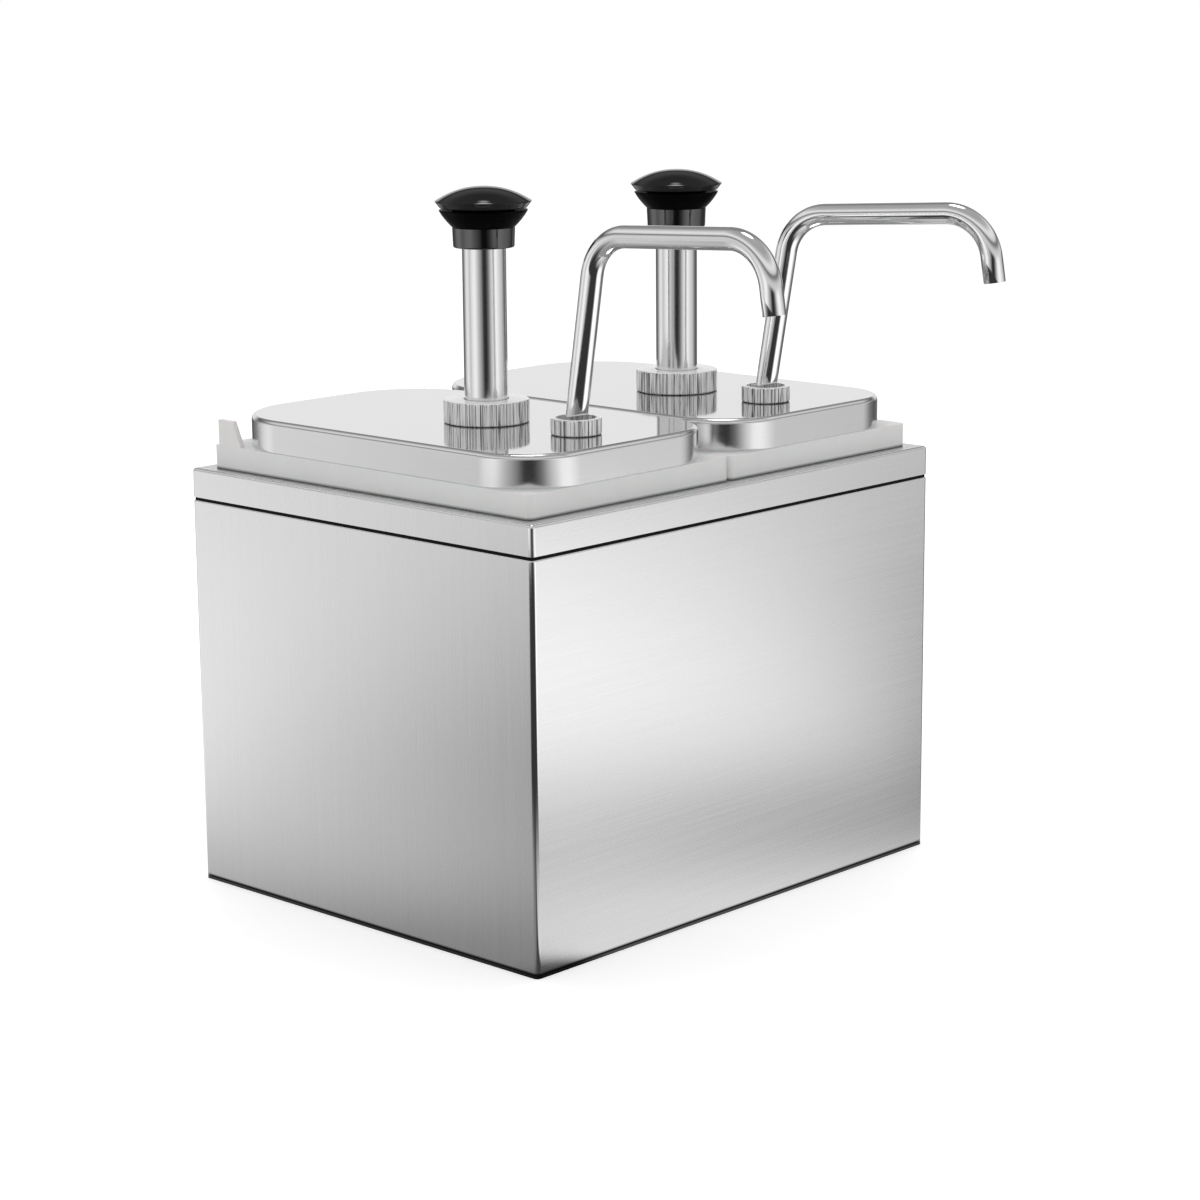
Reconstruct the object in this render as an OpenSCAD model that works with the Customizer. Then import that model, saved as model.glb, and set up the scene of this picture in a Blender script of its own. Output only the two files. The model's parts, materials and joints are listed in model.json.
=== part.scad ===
// Two-container condiment pump station. The origin is the centre of the housing's
// footprint on the table, +Z is up and the spouts reach out towards -Y.

/* [Housing] */
// Width of the housing, along X
housing_w = 240; // [230:1:280]
// Depth of the housing, along Y
housing_d = 196; // [186:1:240]
// Height of the middle of the seam between the shell and the top frame
seam_z = 163; // [120:1:200]
// Width of the seam that shows the black gasket
seam_gap = 1.3; // [0.8:0.1:3]
// Height of the top frame's skirt below its top face
skirt_h = 12; // [8:0.5:20]
// Thickness of the folded steel sheet
sheet_t = 1; // [0.6:0.1:1.5]
// Outer radius of the housing's upright folds
fold_r = 2; // [1.6:0.1:4]
// Radius of the top frame's upper edge
frame_edge_r = 1.2; // [0.8:0.1:1.6]
// Depth of the down-turned lip around each opening of the frame
lip_h = 7; // [3:0.5:10]
// Depth that the gasket sits back from the outer face
gasket_set_back = 0.5; // [0.2:0.1:1]
// Thickness of the bottom tray
tray_t = 1.2; // [0.8:0.1:2]
// Height of the tray's upstanding flanges
tray_flange_h = 18; // [8:1:40]
// Gap between the tray's plate and the lower edge of the shell
tray_gap = 0.6; // [0.3:0.1:2]

/* [Containers] */
// Width of the frame's border beside the containers' rims
side_border = 6.15; // [5:0.05:9]
// Width of the frame's border before and behind the containers' rims
end_border = 7.2; // [6:0.1:10]
// Gap between the rims of the two containers
jar_gap = 0.5; // [0.4:0.1:2]
// Height of the rim above the frame
rim_h = 9.8; // [6:0.2:14]
// Width that the rim overhangs the container's body
rim_w = 8; // [6:0.5:10]
// Thickness of the container's walls
jar_wall = 2.4; // [1.6:0.1:3.5]
// Depth of the container below the frame's top face
jar_depth = 160; // [110:1:165]
// Amount that each side leans in towards the bottom
jar_taper = 3; // [1:0.5:6]
// Corner radius of the rim
rim_corner_r = 3; // [2:0.5:6]
// Corner radius of the container's body
jar_corner_r = 14; // [9:0.5:20]
// Length of the lifting ear
ear_l = 14; // [10:0.5:15]
// Height of the lifting ear above the rim
ear_h = 10.6; // [6:0.2:12]
// Thickness of the lifting ear
ear_t = 2.3; // [1.5:0.1:2.5]
// Distance of the lifting ear from the back of the rim
ear_back = 3.6; // [3:0.2:4.4]
// Length that the ear's front edge slants back
ear_slant = 5; // [2:0.5:8]

/* [Lids] */
// Distance that the lid sits in from the rim on each side
lid_inset = 0.6; // [0.3:0.1:1]
// Height of the lid
lid_h = 13; // [9:0.5:16]
// Radius of the lid's front corners
lid_corner_r = 28; // [25:0.5:32]
// Radius of the lid's rear corners, wider to clear the lifting ear
lid_rear_r = 37; // [30:0.5:40]
// Radius of the lid's upper edge
lid_edge_r = 2.2; // [1.2:0.1:3]
// Thickness of the lid's steel
lid_t = 0.8; // [0.6:0.1:1]

/* [Pump] */
// Distance of the spout's axis behind the lid's front edge
spout_set_back = 29.2; // [27:0.1:32]
// Distance from the pump's axis to the spout's axis
pump_to_spout = 49.5; // [46:0.5:54]
// Stroke of the plunger
stroke = 52; // [30:1:53]
// Outer diameter of the large knurled nut
pump_nut_d = 34.4; // [32:0.2:40]
// Height of the large knurled nut
pump_nut_h = 9.3; // [8:0.1:14]
// Diameter of the threaded neck that passes the lid
neck_d = 26; // [25:0.5:28]
// Outer diameter of the flange under the lid
flange_d = 36; // [33:0.5:40]
// Outer diameter of the pump cylinder
cylinder_d = 30; // [29:0.5:32]
// Bore of the pump cylinder
cylinder_bore_d = 27; // [26:0.2:27.6]
// Outer diameter of the plunger tube
plunger_d = 17.4; // [15:0.2:18]
// Height of the knob's lower edge above the lid
knob_z = 69.6; // [68:0.2:90]
// Length of the plunger tube below the lid
plunger_below = 75; // [60:1:78]
// Diameter of the knob
knob_d = 38.3; // [34:0.1:46]

/* [Spout] */
// Outer diameter of the spout's tube
spout_d = 8.8; // [8:0.1:10]
// Wall of the spout's tube
spout_wall = 1; // [0.6:0.1:1.4]
// Height of the spout's run above the lid, at its first corner
spout_h = 77.4; // [60:0.2:110]
// Length of the spout's run between its corners
spout_run = 84.6; // [70:0.2:86]
// Height that the outlet end drops below the second corner
spout_drop = 27.5; // [25:0.5:50]
// Lean of the riser, in degrees
spout_lean = 9.1; // [4:0.1:12]
// Climb of the run, in degrees
spout_climb = 2.5; // [0:0.1:5]
// Splay of the outlet end, in degrees
spout_splay = 8.4; // [2:0.1:12]
// Bend radius at the riser's foot, on the tube's axis
foot_bend_r = 12; // [10:0.5:16]
// Bend radius between riser and run
riser_bend_r = 18.3; // [14:0.1:24]
// Bend radius between run and outlet end
outlet_bend_r = 19; // [14:0.1:24]
// Turn of the left spout from straight ahead, in degrees
left_spout_turn = 0; // [-60:1:30]
// Turn of the right spout from straight ahead, in degrees
right_spout_turn = 15; // [-30:1:60]
// Outer diameter of the small knurled nut
spout_nut_d = 20; // [19:0.2:24]
// Height of the small knurled nut
spout_nut_h = 6.6; // [5.6:0.1:9]
// Diameter of the small threaded neck
spout_neck_d = 16; // [15:0.1:16.6]

/* [Hidden] */
$fn = 48;

// Clearances, and the overrun of every cut
slide_clear = 0.05;
fit_clear = 0.25;
rest_clear = 0.3;
hole_clear = 0.4;
cut = 1;

// Heights of the stack
tray_top_z = tray_t;
shell_bottom_z = tray_top_z + tray_gap;
shell_top_z = seam_z - seam_gap / 2;
skirt_bottom_z = seam_z + seam_gap / 2;
frame_top_z = skirt_bottom_z + skirt_h;
rim_top_z = frame_top_z + rim_h;
lid_top_z = rim_top_z + lid_h;
lid_under_z = lid_top_z - lid_t;

// Places of the two stations, from the housing's size
jar_w = (housing_w - 2 * side_border - jar_gap) / 2;
jar_d = housing_d - 2 * end_border;
station_x = (jar_w + jar_gap) / 2;
lid_w = jar_w - 2 * lid_inset;
lid_d = jar_d - 2 * lid_inset;
spout_ahead = lid_d / 2 - spout_set_back;
pump_ahead = spout_ahead - pump_to_spout;
body_w = jar_w - 2 * rim_w;
body_d = jar_d - 2 * rim_w;

// Openings of the frame, a clearance wider than the containers' bodies
opening_clear = 0.8;
upstand_in = sheet_t + fit_clear;

// Pump parts under and above the lid
gasket_t = 1.5;
flange_t = 3;
flange_z = lid_under_z - gasket_t - flange_t;
nut_web_t = 1.8;
bush_d = 22;
bush_flange_t = 1.5;
neck_top_z = lid_top_z + pump_nut_h - nut_web_t - bush_flange_t;
stop_ring_d = 24.6;
stop_ring_h = 3;
shoulder_t = 4;
shoulder_z = flange_z - shoulder_t;
bush_len = neck_top_z - shoulder_z - rest_clear;
stop_ring_z = shoulder_z - rest_clear - stop_ring_h;
plunger_wall = 1;
plunger_bore_d = plunger_d - 2 * plunger_wall;
plunger_bottom_z = lid_top_z - plunger_below;
collar_bottom_z = lid_top_z + knob_z;

// Piston, its seal and the spring under it
piston_d = cylinder_bore_d - 2 * hole_clear;
piston_h = 12;
piston_spigot_h = 10;
seal_h = 5;
seal_groove_d = 21;
seal_lip_h = seal_h / 4;
seal_waist = 0.5;
seal_z = plunger_bottom_z - piston_h + (piston_h - seal_h) / 2;
spring_wire_d = 1.6;
spring_d = 21.6;
spring_turns = 9;
spring_steps_per_turn = 8;
spring_sides = 6;

// Valve body, below the cylinder
solid_spring_h = (spring_turns + 1) * spring_wire_d;
cylinder_bottom_z = plunger_bottom_z - piston_h - stroke - solid_spring_h - spring_wire_d;
valve_d = 35;
valve_socket_h = 9;
cage_t = 2;
cage_hole_d = 2.6;
cage_hole_count = 4;
cage_ring_r = 3.6;
seat_d = 14;
seat_h = 6;
seat_port_d = 6;
inlet_ball_d = 8;
inlet_lift = 2.5;
chamber_d = 11;
ball_sink = sqrt(pow(inlet_ball_d / 2, 2) - pow(seat_port_d / 2, 2));
ball_top = ball_sink + slide_clear + inlet_ball_d / 2;
valve_h = seat_h + ball_top + inlet_lift + rest_clear + cage_t;
valve_bottom_z = cylinder_bottom_z - valve_h;
chamber_top_z = cylinder_bottom_z - cage_t;
outlet_port_d = 6;
port_wall = 1;
outlet_offset = (chamber_d + outlet_port_d) / 2 + port_wall;

// Riser, from the valve body to the spout's fitting
riser_d = 10;
riser_wall = 1;
riser_bend_in_r = 16;
riser_z = valve_bottom_z + valve_h / 2;
boss_d = 14;
boss_out = 7;
riser_socket = 5;

// Fitting that carries the spout
fitting_flange_d = 22;
fitting_flange_t = 2.5;
fitting_below = 26;
fitting_neck_above = 4;
fitting_body_d = 14;
riser_seat_h = 6;
outlet_seat_d = 5;
outlet_seat_t = 2;
outlet_ball_d = 7;
outlet_lift = 3;
outlet_chamber_d = 8;
outlet_sink = sqrt(pow(outlet_ball_d / 2, 2) - pow(outlet_seat_d / 2, 2));
fitting_bottom_z = lid_under_z - fitting_below;
outlet_seat_z = fitting_bottom_z + riser_seat_h + outlet_seat_t;
outlet_ball_z = outlet_seat_z + outlet_sink;
spout_foot_z = outlet_ball_z + outlet_ball_d / 2 + outlet_lift + rest_clear;
spout_r = spout_d / 2;
tube_sides = 20;
bend_step = 12;
spout_socket_r = spout_r + slide_clear;
seal_wire_d = 1.8;
seal_seat_z = lid_under_z - fitting_flange_t;

// Spout's corners and straight lengths, from its bends
spout_foot_corner_z = lid_top_z + fitting_neck_above + foot_bend_r * tan(spout_lean / 2);
riser_turn = 90 - spout_lean - spout_climb;
outlet_turn = 90 + spout_climb - spout_splay;
riser_h = lid_top_z + spout_h - spout_foot_corner_z;
foot_len = spout_foot_corner_z - foot_bend_r * tan(spout_lean / 2) - spout_foot_z;
riser_len = riser_h / cos(spout_lean) - foot_bend_r * tan(spout_lean / 2)
  - riser_bend_r * tan(riser_turn / 2);
run_len = spout_run - riser_bend_r * tan(riser_turn / 2) - outlet_bend_r * tan(outlet_turn / 2);
outlet_len = spout_drop / cos(spout_splay) - outlet_bend_r * tan(outlet_turn / 2);

// Knob, in heights above the lower edge of its collar
collar_h = 8;
collar_d = 24.9;
collar_draft = 0.3;
cup_h = 6.8;
cup_top_d = 35.2;
cup_bulge = 0.3;
cup_edge = 0.3;
dome_gap = 0.8;
dome_under_in = 1.9;
dome_rim_z = 2.5;
dome_rim_r = 0.4;
dome_h = 8.4;
dome_round = 2.2;
stud_d = 8;
stud_plug_h = 12;
stud_above = 13;

// Knurling
pump_knurl_count = 64;
spout_knurl_count = 40;
knurl_depth = 0.5;
knurl_chamfer = 0.7;

// Share by which the teeth differ in depth, the step that scatters them, and the cage's turn
knurl_swing_share = 0.45;
knurl_scatter = 137;
ball_cage_turn = 45;

// Shapes that repeat

// Flat rectangle with round corners
module round_rect(w, d, r) {
  square([w - 2 * r, d], center = true);
  square([w, d - 2 * r], center = true);
  for (sx = [-1, 1], sy = [-1, 1])
    translate([sx * (w / 2 - r), sy * (d / 2 - r)]) circle(r = r);
}

// Upright block with round corners
module round_block(w, d, r, h) {
  linear_extrude(height = h) round_rect(w, d, r);
}

// Half section of a block's side: r wide, h high, with a rolled upper edge of radius e
module rolled_section(r, h, e) {
  steps = 6;
  arc = [
    for (i = [0 : steps])
      let (a = i * 90 / steps) [r - e + e * cos(a), h - e + e * sin(a)]
  ];
  polygon(concat([[0, 0], [r, 0]], arc, [[0, h]]));
}

// Upright block with round corners and a rolled upper edge, swept around its outline
module rolled_block(w, d, front_r, rear_r, h, e) {
  front_x = w / 2 - front_r;
  rear_x = w / 2 - rear_r;
  front_y = front_r - d / 2;
  rear_y = d / 2 - rear_r;
  side_len = rear_y - front_y;
  translate([-rear_x, front_y, 0]) cube([2 * rear_x, side_len, h]);
  rolled_side(0, rear_x, rear_y, side_len, rear_r, h, e);
  rolled_side(90, rear_y, rear_x, 2 * rear_x, rear_r, h, e);
  rolled_side(180, rear_x, -front_y, side_len, rear_r, h, e);
  rolled_side(270, -front_y, front_x, 2 * front_x, front_r, h, e);
  for (corner = [[0, rear_x, rear_y, rear_r], [90, -rear_x, rear_y, rear_r],
                 [180, -front_x, front_y, front_r], [270, front_x, front_y, front_r]])
    translate([corner[1], corner[2], 0]) rotate([0, 0, corner[0]])
      rotate_extrude(angle = 90) rolled_section(corner[3], h, e);
}

// Straight side of a rolled block, turned about Z from the side that faces +X
module rolled_side(turn, out, start, len, r, h, e) {
  rotate([0, 0, turn]) translate([out, start, 0]) rotate([90, 0, 0])
    linear_extrude(height = len) rolled_section(r, h, e);
}

// Ring of rectangular outline between an outer and an inner block
module round_ring(w, d, r, wall, h) {
  difference() {
    round_block(w, d, r, h);
    translate([0, 0, -cut])
      round_block(w - 2 * wall, d - 2 * wall, r > wall ? r - wall : slide_clear, h + 2 * cut);
  }
}

// Tapered tub: the outline is w by d at the top and draws in by taper at z = 0
module tub(w, d, r, h, taper) {
  hull() {
    translate([0, 0, h - slide_clear]) round_block(w, d, r, slide_clear, $fn = 32);
    round_block(w - 2 * taper, d - 2 * taper, r - taper, slide_clear, $fn = 32);
  }
}

// Outline of a straight knurl with teeth of uneven depth
function knurl_points(r, count) = [
  for (i = [0 : 2 * count - 1])
    let (dip = (i % 2) * knurl_depth * (1 - knurl_swing_share * (1 + sin(i * knurl_scatter)) / 2))
      [(r - dip) * cos(i * 180 / count), (r - dip) * sin(i * 180 / count)]
];

// Knurled disc with both edges chamfered
module knurled_disc(d, h, count) {
  intersection() {
    linear_extrude(height = h) polygon(knurl_points(d / 2, count));
    rotate_extrude() polygon([
      [0, 0], [d / 2 - knurl_chamfer, 0], [d / 2 + slide_clear, knurl_chamfer],
      [d / 2 + slide_clear, h - knurl_chamfer], [d / 2 - knurl_chamfer, h], [0, h]
    ]);
  }
}

// Rod that runs straight, turns up by a quarter and runs straight again
module elbow_rod(first_len, bend_r, second_len, r) {
  cylinder(r = r, h = first_len);
  translate([bend_r, 0, first_len]) mirror([1, 0, 0]) rotate([90, 0, 0])
    rotate_extrude(angle = 90) translate([bend_r, 0]) circle(r = r);
  translate([bend_r, 0, first_len + bend_r]) rotate([0, 90, 0]) cylinder(r = r, h = second_len);
}

// Stations [x, z, heading] along legs of [straight length, turn, bend radius]
function bent_path(legs, i = 0, x = 0, z = 0, a = 0) =
  i == len(legs) ? [] :
  let (straight = legs[i][0], turn = legs[i][1], bend = legs[i][2],
       x1 = x + straight * sin(a), z1 = z + straight * cos(a),
       steps = ceil(turn / bend_step),
       arc = [for (k = [1 : 1 : steps]) let (h = a + turn * k / steps)
         [x1 + bend * (cos(a) - cos(h)), z1 + bend * (sin(h) - sin(a)), h]],
       last = steps > 0 ? arc[steps - 1] : [x1, z1, a])
    concat(i == 0 ? [[x, z, a]] : [], [[x1, z1, a]], arc,
      bent_path(legs, i + 1, last[0], last[1], last[2]));

// Ring of points around one station of a path
function ring_points(station, r) = [
  for (k = [0 : tube_sides - 1])
    let (t = k * 360 / tube_sides)
      [station[0] + r * cos(t) * cos(station[2]), r * sin(t),
       station[1] - r * cos(t) * sin(station[2])]
];

// Hollow tube along a bent path, in one piece
module bent_tube(legs, r_out, r_in) {
  path = bent_path(legs);
  count = len(path);
  inner = count * tube_sides;
  last = (count - 1) * tube_sides;
  points = [for (r = [r_out, r_in], station = path) each ring_points(station, r)];
  walls = [
    for (i = [0 : count - 2], k = [0 : tube_sides - 1])
      let (a = i * tube_sides + k, b = i * tube_sides + (k + 1) % tube_sides,
           c = a + tube_sides, d = b + tube_sides)
        each [[a, d, b], [a, c, d],
          [inner + a, inner + b, inner + d], [inner + a, inner + d, inner + c]]
  ];
  ends = [
    for (k = [0 : tube_sides - 1])
      let (a = k, b = (k + 1) % tube_sides)
        each [[a, inner + b, inner + a], [a, b, inner + b],
          [last + a, inner + last + a, inner + last + b], [last + a, inner + last + b, last + b]]
  ];
  polyhedron(points = points, faces = concat(walls, ends));
}

// Point on the spring's axis line, at a share of its whole wind
function spring_point(a, h) = [
  (spring_d / 2 - spring_wire_d / 2) * cos(a), (spring_d / 2 - spring_wire_d / 2) * sin(a),
  spring_wire_d / 2 + (h - spring_wire_d) * a / (360 * spring_turns)
];

// One unbroken coil of round wire, standing on z = 0
module coil_spring(h) {
  rings = spring_turns * spring_steps_per_turn;
  wire_r = spring_wire_d / 2;
  points = [
    for (i = [0 : rings], k = [0 : spring_sides - 1])
      let (a = i * 360 / spring_steps_per_turn, p = spring_point(a, h),
           t = k * 360 / spring_sides)
        [p[0] + wire_r * cos(t) * cos(a), p[1] + wire_r * cos(t) * sin(a),
         p[2] + wire_r * sin(t)]
  ];
  walls = [
    for (i = [0 : rings - 1], k = [0 : spring_sides - 1])
      let (a = i * spring_sides + k, b = i * spring_sides + (k + 1) % spring_sides)
        each [[a, b, b + spring_sides], [a, b + spring_sides, a + spring_sides]]
  ];
  start = [for (k = [1 : spring_sides - 2]) [0, k + 1, k]];
  last = rings * spring_sides;
  end = [for (k = [1 : spring_sides - 2]) [last, last + k, last + k + 1]];
  polyhedron(points = points, faces = concat(walls, start, end));
}

// Places a child at a container, a pump or a spout. side is -1 for left, 1 for right
module at_jar(side) {
  translate([side * station_x, 0, 0]) children();
}

module at_pump(side) {
  translate([side * station_x, -pump_ahead, 0]) children();
}

module at_spout(side) {
  translate([side * station_x, -spout_ahead, 0]) children();
}

// Housing

module housing_shell() {
  color("silver") {
    // Four outer walls, folded from one sheet
    translate([0, 0, shell_bottom_z])
      round_ring(housing_w, housing_d, fold_r, sheet_t, shell_top_z - shell_bottom_z);
    // Shoulder, turned in under the frame's skirt
    translate([0, 0, shell_top_z - sheet_t])
      round_ring(housing_w - 2 * cut, housing_d - 2 * cut, fold_r - cut / 2,
        upstand_in + sheet_t - cut, sheet_t);
    // Upstand that carries the frame
    translate([0, 0, shell_top_z - sheet_t])
      round_ring(housing_w - 2 * upstand_in, housing_d - 2 * upstand_in, fold_r - sheet_t,
        sheet_t, frame_top_z - shell_top_z);
  }
}

module base_tray() {
  color("gray") {
    round_block(housing_w, housing_d, fold_r, tray_t);
    round_ring(housing_w - 2 * sheet_t, housing_d - 2 * sheet_t, fold_r - sheet_t,
      tray_t, tray_t + tray_flange_h);
  }
}

module top_frame() {
  open_w = body_w + 2 * opening_clear;
  open_d = body_d + 2 * opening_clear;
  open_r = jar_corner_r + opening_clear;
  color("lightgray") difference() {
    union() {
      difference() {
        translate([0, 0, skirt_bottom_z])
          rolled_block(housing_w, housing_d, fold_r, fold_r, skirt_h, frame_edge_r);
        translate([0, 0, skirt_bottom_z - cut])
          round_block(housing_w - 2 * sheet_t, housing_d - 2 * sheet_t, fold_r - sheet_t,
            skirt_h - sheet_t + cut);
      }
      for (side = [-1, 1]) at_jar(side)
        translate([0, 0, frame_top_z - lip_h])
          round_block(open_w + 2 * sheet_t, open_d + 2 * sheet_t, open_r + sheet_t, lip_h);
    }
    for (side = [-1, 1]) at_jar(side)
      translate([0, 0, frame_top_z - lip_h - cut])
        round_block(open_w, open_d, open_r, lip_h + 2 * cut);
  }
}

module seam_gasket() {
  color("black") translate([0, 0, shell_top_z])
    round_ring(housing_w - 2 * gasket_set_back, housing_d - 2 * gasket_set_back,
      fold_r - gasket_set_back, upstand_in - gasket_set_back, seam_gap);
}

// Container

module jar(side) {
  depth = jar_depth + rim_h;
  color("white") at_jar(side) {
    difference() {
      union() {
        translate([0, 0, frame_top_z - jar_depth])
          tub(body_w, body_d, jar_corner_r, depth, jar_taper);
        translate([0, 0, rim_top_z - jar_wall])
          round_block(jar_w, jar_d, rim_corner_r, jar_wall);
        translate([0, 0, frame_top_z])
          round_ring(jar_w, jar_d, rim_corner_r, jar_wall, rim_h);
      }
      translate([0, 0, frame_top_z - jar_depth + jar_wall])
        tub(body_w - 2 * jar_wall, body_d - 2 * jar_wall, jar_corner_r - jar_wall,
          depth, jar_taper);
    }
    jar_ear();
  }
}

// Flat ear on the rim's left rear corner, clear of the lid's round corner
module jar_ear() {
  back_y = jar_d / 2 - ear_back;
  translate([-jar_w / 2 + ear_t, back_y, rim_top_z]) rotate([90, 0, -90])
    linear_extrude(height = ear_t)
      polygon([[0, 0], [ear_l, 0], [ear_l - ear_slant, ear_h], [0, ear_h]]);
}

// Lid and what is clamped to it

module lid(side) {
  color("gainsboro") difference() {
    at_jar(side) translate([0, 0, rim_top_z]) difference() {
      rolled_block(lid_w, lid_d, lid_corner_r, lid_rear_r, lid_h, lid_edge_r);
      translate([0, 0, -cut])
        rolled_block(lid_w - 2 * lid_t, lid_d - 2 * lid_t, lid_corner_r - lid_t,
          lid_rear_r - lid_t, lid_h - lid_t + cut, lid_edge_r - lid_t);
    }
    at_pump(side) translate([0, 0, lid_under_z - cut])
      cylinder(d = neck_d + 2 * fit_clear, h = lid_t + 2 * cut);
    at_spout(side) translate([0, 0, lid_under_z - cut])
      cylinder(d = spout_neck_d + 2 * fit_clear, h = lid_t + 2 * cut);
  }
}

module pump_nut(side) {
  color("silver") at_pump(side) translate([0, 0, lid_top_z]) difference() {
    knurled_disc(pump_nut_d, pump_nut_h, pump_knurl_count);
    translate([0, 0, -cut]) cylinder(d = neck_d, h = pump_nut_h - nut_web_t + cut);
    cylinder(d = plunger_d + 2 * hole_clear, h = pump_nut_h + cut);
  }
}

module pump_gasket(side) {
  color("dimgray") at_pump(side) translate([0, 0, lid_under_z - gasket_t]) difference() {
    cylinder(d = flange_d, h = gasket_t);
    translate([0, 0, -cut]) cylinder(d = neck_d, h = gasket_t + 2 * cut);
  }
}

module pump_cylinder(side) {
  color("silver") at_pump(side) difference() {
    union() {
      translate([0, 0, cylinder_bottom_z])
        cylinder(d = cylinder_d, h = flange_z - cylinder_bottom_z);
      translate([0, 0, flange_z]) cylinder(d = flange_d, h = flange_t);
      translate([0, 0, flange_z]) cylinder(d = neck_d, h = neck_top_z - flange_z);
    }
    translate([0, 0, cylinder_bottom_z - cut])
      cylinder(d = cylinder_bore_d, h = shoulder_z - cylinder_bottom_z + cut);
    translate([0, 0, shoulder_z - cut]) cylinder(d = bush_d, h = neck_top_z - shoulder_z + 2 * cut);
  }
}

module plunger_bush(side) {
  color("white") at_pump(side) difference() {
    union() {
      translate([0, 0, neck_top_z]) cylinder(d = neck_d - 2 * fit_clear, h = bush_flange_t);
      translate([0, 0, neck_top_z - bush_len]) cylinder(d = bush_d, h = bush_len);
    }
    translate([0, 0, neck_top_z - bush_len - cut])
      cylinder(d = plunger_d + 2 * slide_clear, h = bush_len + bush_flange_t + 2 * cut);
  }
}

// Pump's lower end: valve body, inlet seat and balls

module valve_body(side) {
  color("gainsboro") at_pump(side) difference() {
    union() {
      translate([0, 0, valve_bottom_z]) cylinder(d = valve_d, h = valve_h + valve_socket_h);
      translate([0, 0, riser_z]) rotate([90, 0, 0])
        cylinder(d = boss_d, h = valve_d / 2 + boss_out);
    }
    // Socket for the cylinder's lower end
    translate([0, 0, cylinder_bottom_z])
      cylinder(d = cylinder_d, h = valve_socket_h + cut);
    // Ball chamber, wider where the inlet seat screws in
    translate([0, 0, valve_bottom_z]) cylinder(d = chamber_d, h = chamber_top_z - valve_bottom_z);
    translate([0, 0, valve_bottom_z - cut]) cylinder(d = seat_d, h = seat_h + cut);
    // Holes of the cage that holds the ball back
    for (i = [0 : cage_hole_count - 1])
      rotate([0, 0, ball_cage_turn + i * 360 / cage_hole_count])
        translate([cage_ring_r, 0, chamber_top_z - cut])
          cylinder(d = cage_hole_d, h = cage_t + 2 * cut);
    // Side outlet: down beside the chamber, then forward to the riser
    translate([0, -outlet_offset, riser_z]) cylinder(d = outlet_port_d, h = valve_h);
    translate([0, -outlet_offset, riser_z]) rotate([90, 0, 0])
      cylinder(d = outlet_port_d, h = valve_d / 2 + boss_out);
    // Socket for the riser
    translate([0, -valve_d / 2 - boss_out + riser_socket, riser_z]) rotate([90, 0, 0])
      cylinder(d = riser_d, h = riser_socket + cut);
  }
}

module inlet_seat(side) {
  color("silver") at_pump(side) translate([0, 0, valve_bottom_z]) difference() {
    cylinder(d = seat_d, h = seat_h);
    translate([0, 0, -cut]) cylinder(d = seat_port_d, h = seat_h + 2 * cut);
  }
}

module inlet_ball(side) {
  color("lightsteelblue") at_pump(side)
    translate([0, 0, valve_bottom_z + seat_h + ball_sink + slide_clear])
      sphere(d = inlet_ball_d);
}

module riser_tube(side) {
  start_y = valve_d / 2 + boss_out - riser_socket;
  forward = spout_ahead - pump_ahead - start_y - riser_bend_in_r;
  up = fitting_bottom_z + riser_seat_h - riser_z - riser_bend_in_r;
  color("silver") at_pump(side) translate([0, -start_y, riser_z])
    rotate([0, 0, 90]) rotate([0, -90, 0]) difference() {
      elbow_rod(forward, riser_bend_in_r, up, riser_d / 2);
      translate([0, 0, -cut]) elbow_rod(forward + cut, riser_bend_in_r, up + cut,
        riser_d / 2 - riser_wall);
    }
}

// Spout and its fitting

module spout_fitting(side) {
  color("silver") at_spout(side) difference() {
    union() {
      translate([0, 0, fitting_bottom_z]) cylinder(d = fitting_body_d, h = fitting_below);
      translate([0, 0, seal_seat_z]) cylinder(d = fitting_flange_d, h = fitting_flange_t);
      translate([0, 0, seal_seat_z])
        cylinder(d = spout_neck_d, h = fitting_flange_t + lid_t + fitting_neck_above);
    }
    translate([0, 0, fitting_bottom_z - cut]) cylinder(d = riser_d, h = riser_seat_h + cut);
    translate([0, 0, fitting_bottom_z]) cylinder(d = outlet_seat_d, h = fitting_below);
    translate([0, 0, outlet_seat_z])
      cylinder(d = outlet_chamber_d, h = spout_foot_z - outlet_seat_z);
    translate([0, 0, spout_foot_z - slide_clear])
      cylinder(r = spout_socket_r, h = fitting_below + fitting_neck_above);
    // Groove of the sealing ring
    translate([0, 0, seal_seat_z])
      cylinder(r = spout_socket_r + seal_wire_d, h = seal_wire_d);
  }
}

module outlet_ball(side) {
  color("lightsteelblue") at_spout(side)
    translate([0, 0, outlet_ball_z + slide_clear]) sphere(d = outlet_ball_d);
}

module spout_seal(side) {
  color("dimgray") at_spout(side) translate([0, 0, seal_seat_z + seal_wire_d / 2])
    rotate_extrude() translate([spout_socket_r + seal_wire_d / 2, 0])
      circle(d = seal_wire_d);
}

module spout_nut(side) {
  color("silver") at_spout(side) translate([0, 0, lid_top_z]) difference() {
    knurled_disc(spout_nut_d, spout_nut_h, spout_knurl_count);
    translate([0, 0, -cut]) cylinder(d = spout_neck_d, h = spout_nut_h + 2 * cut);
  }
}

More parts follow.
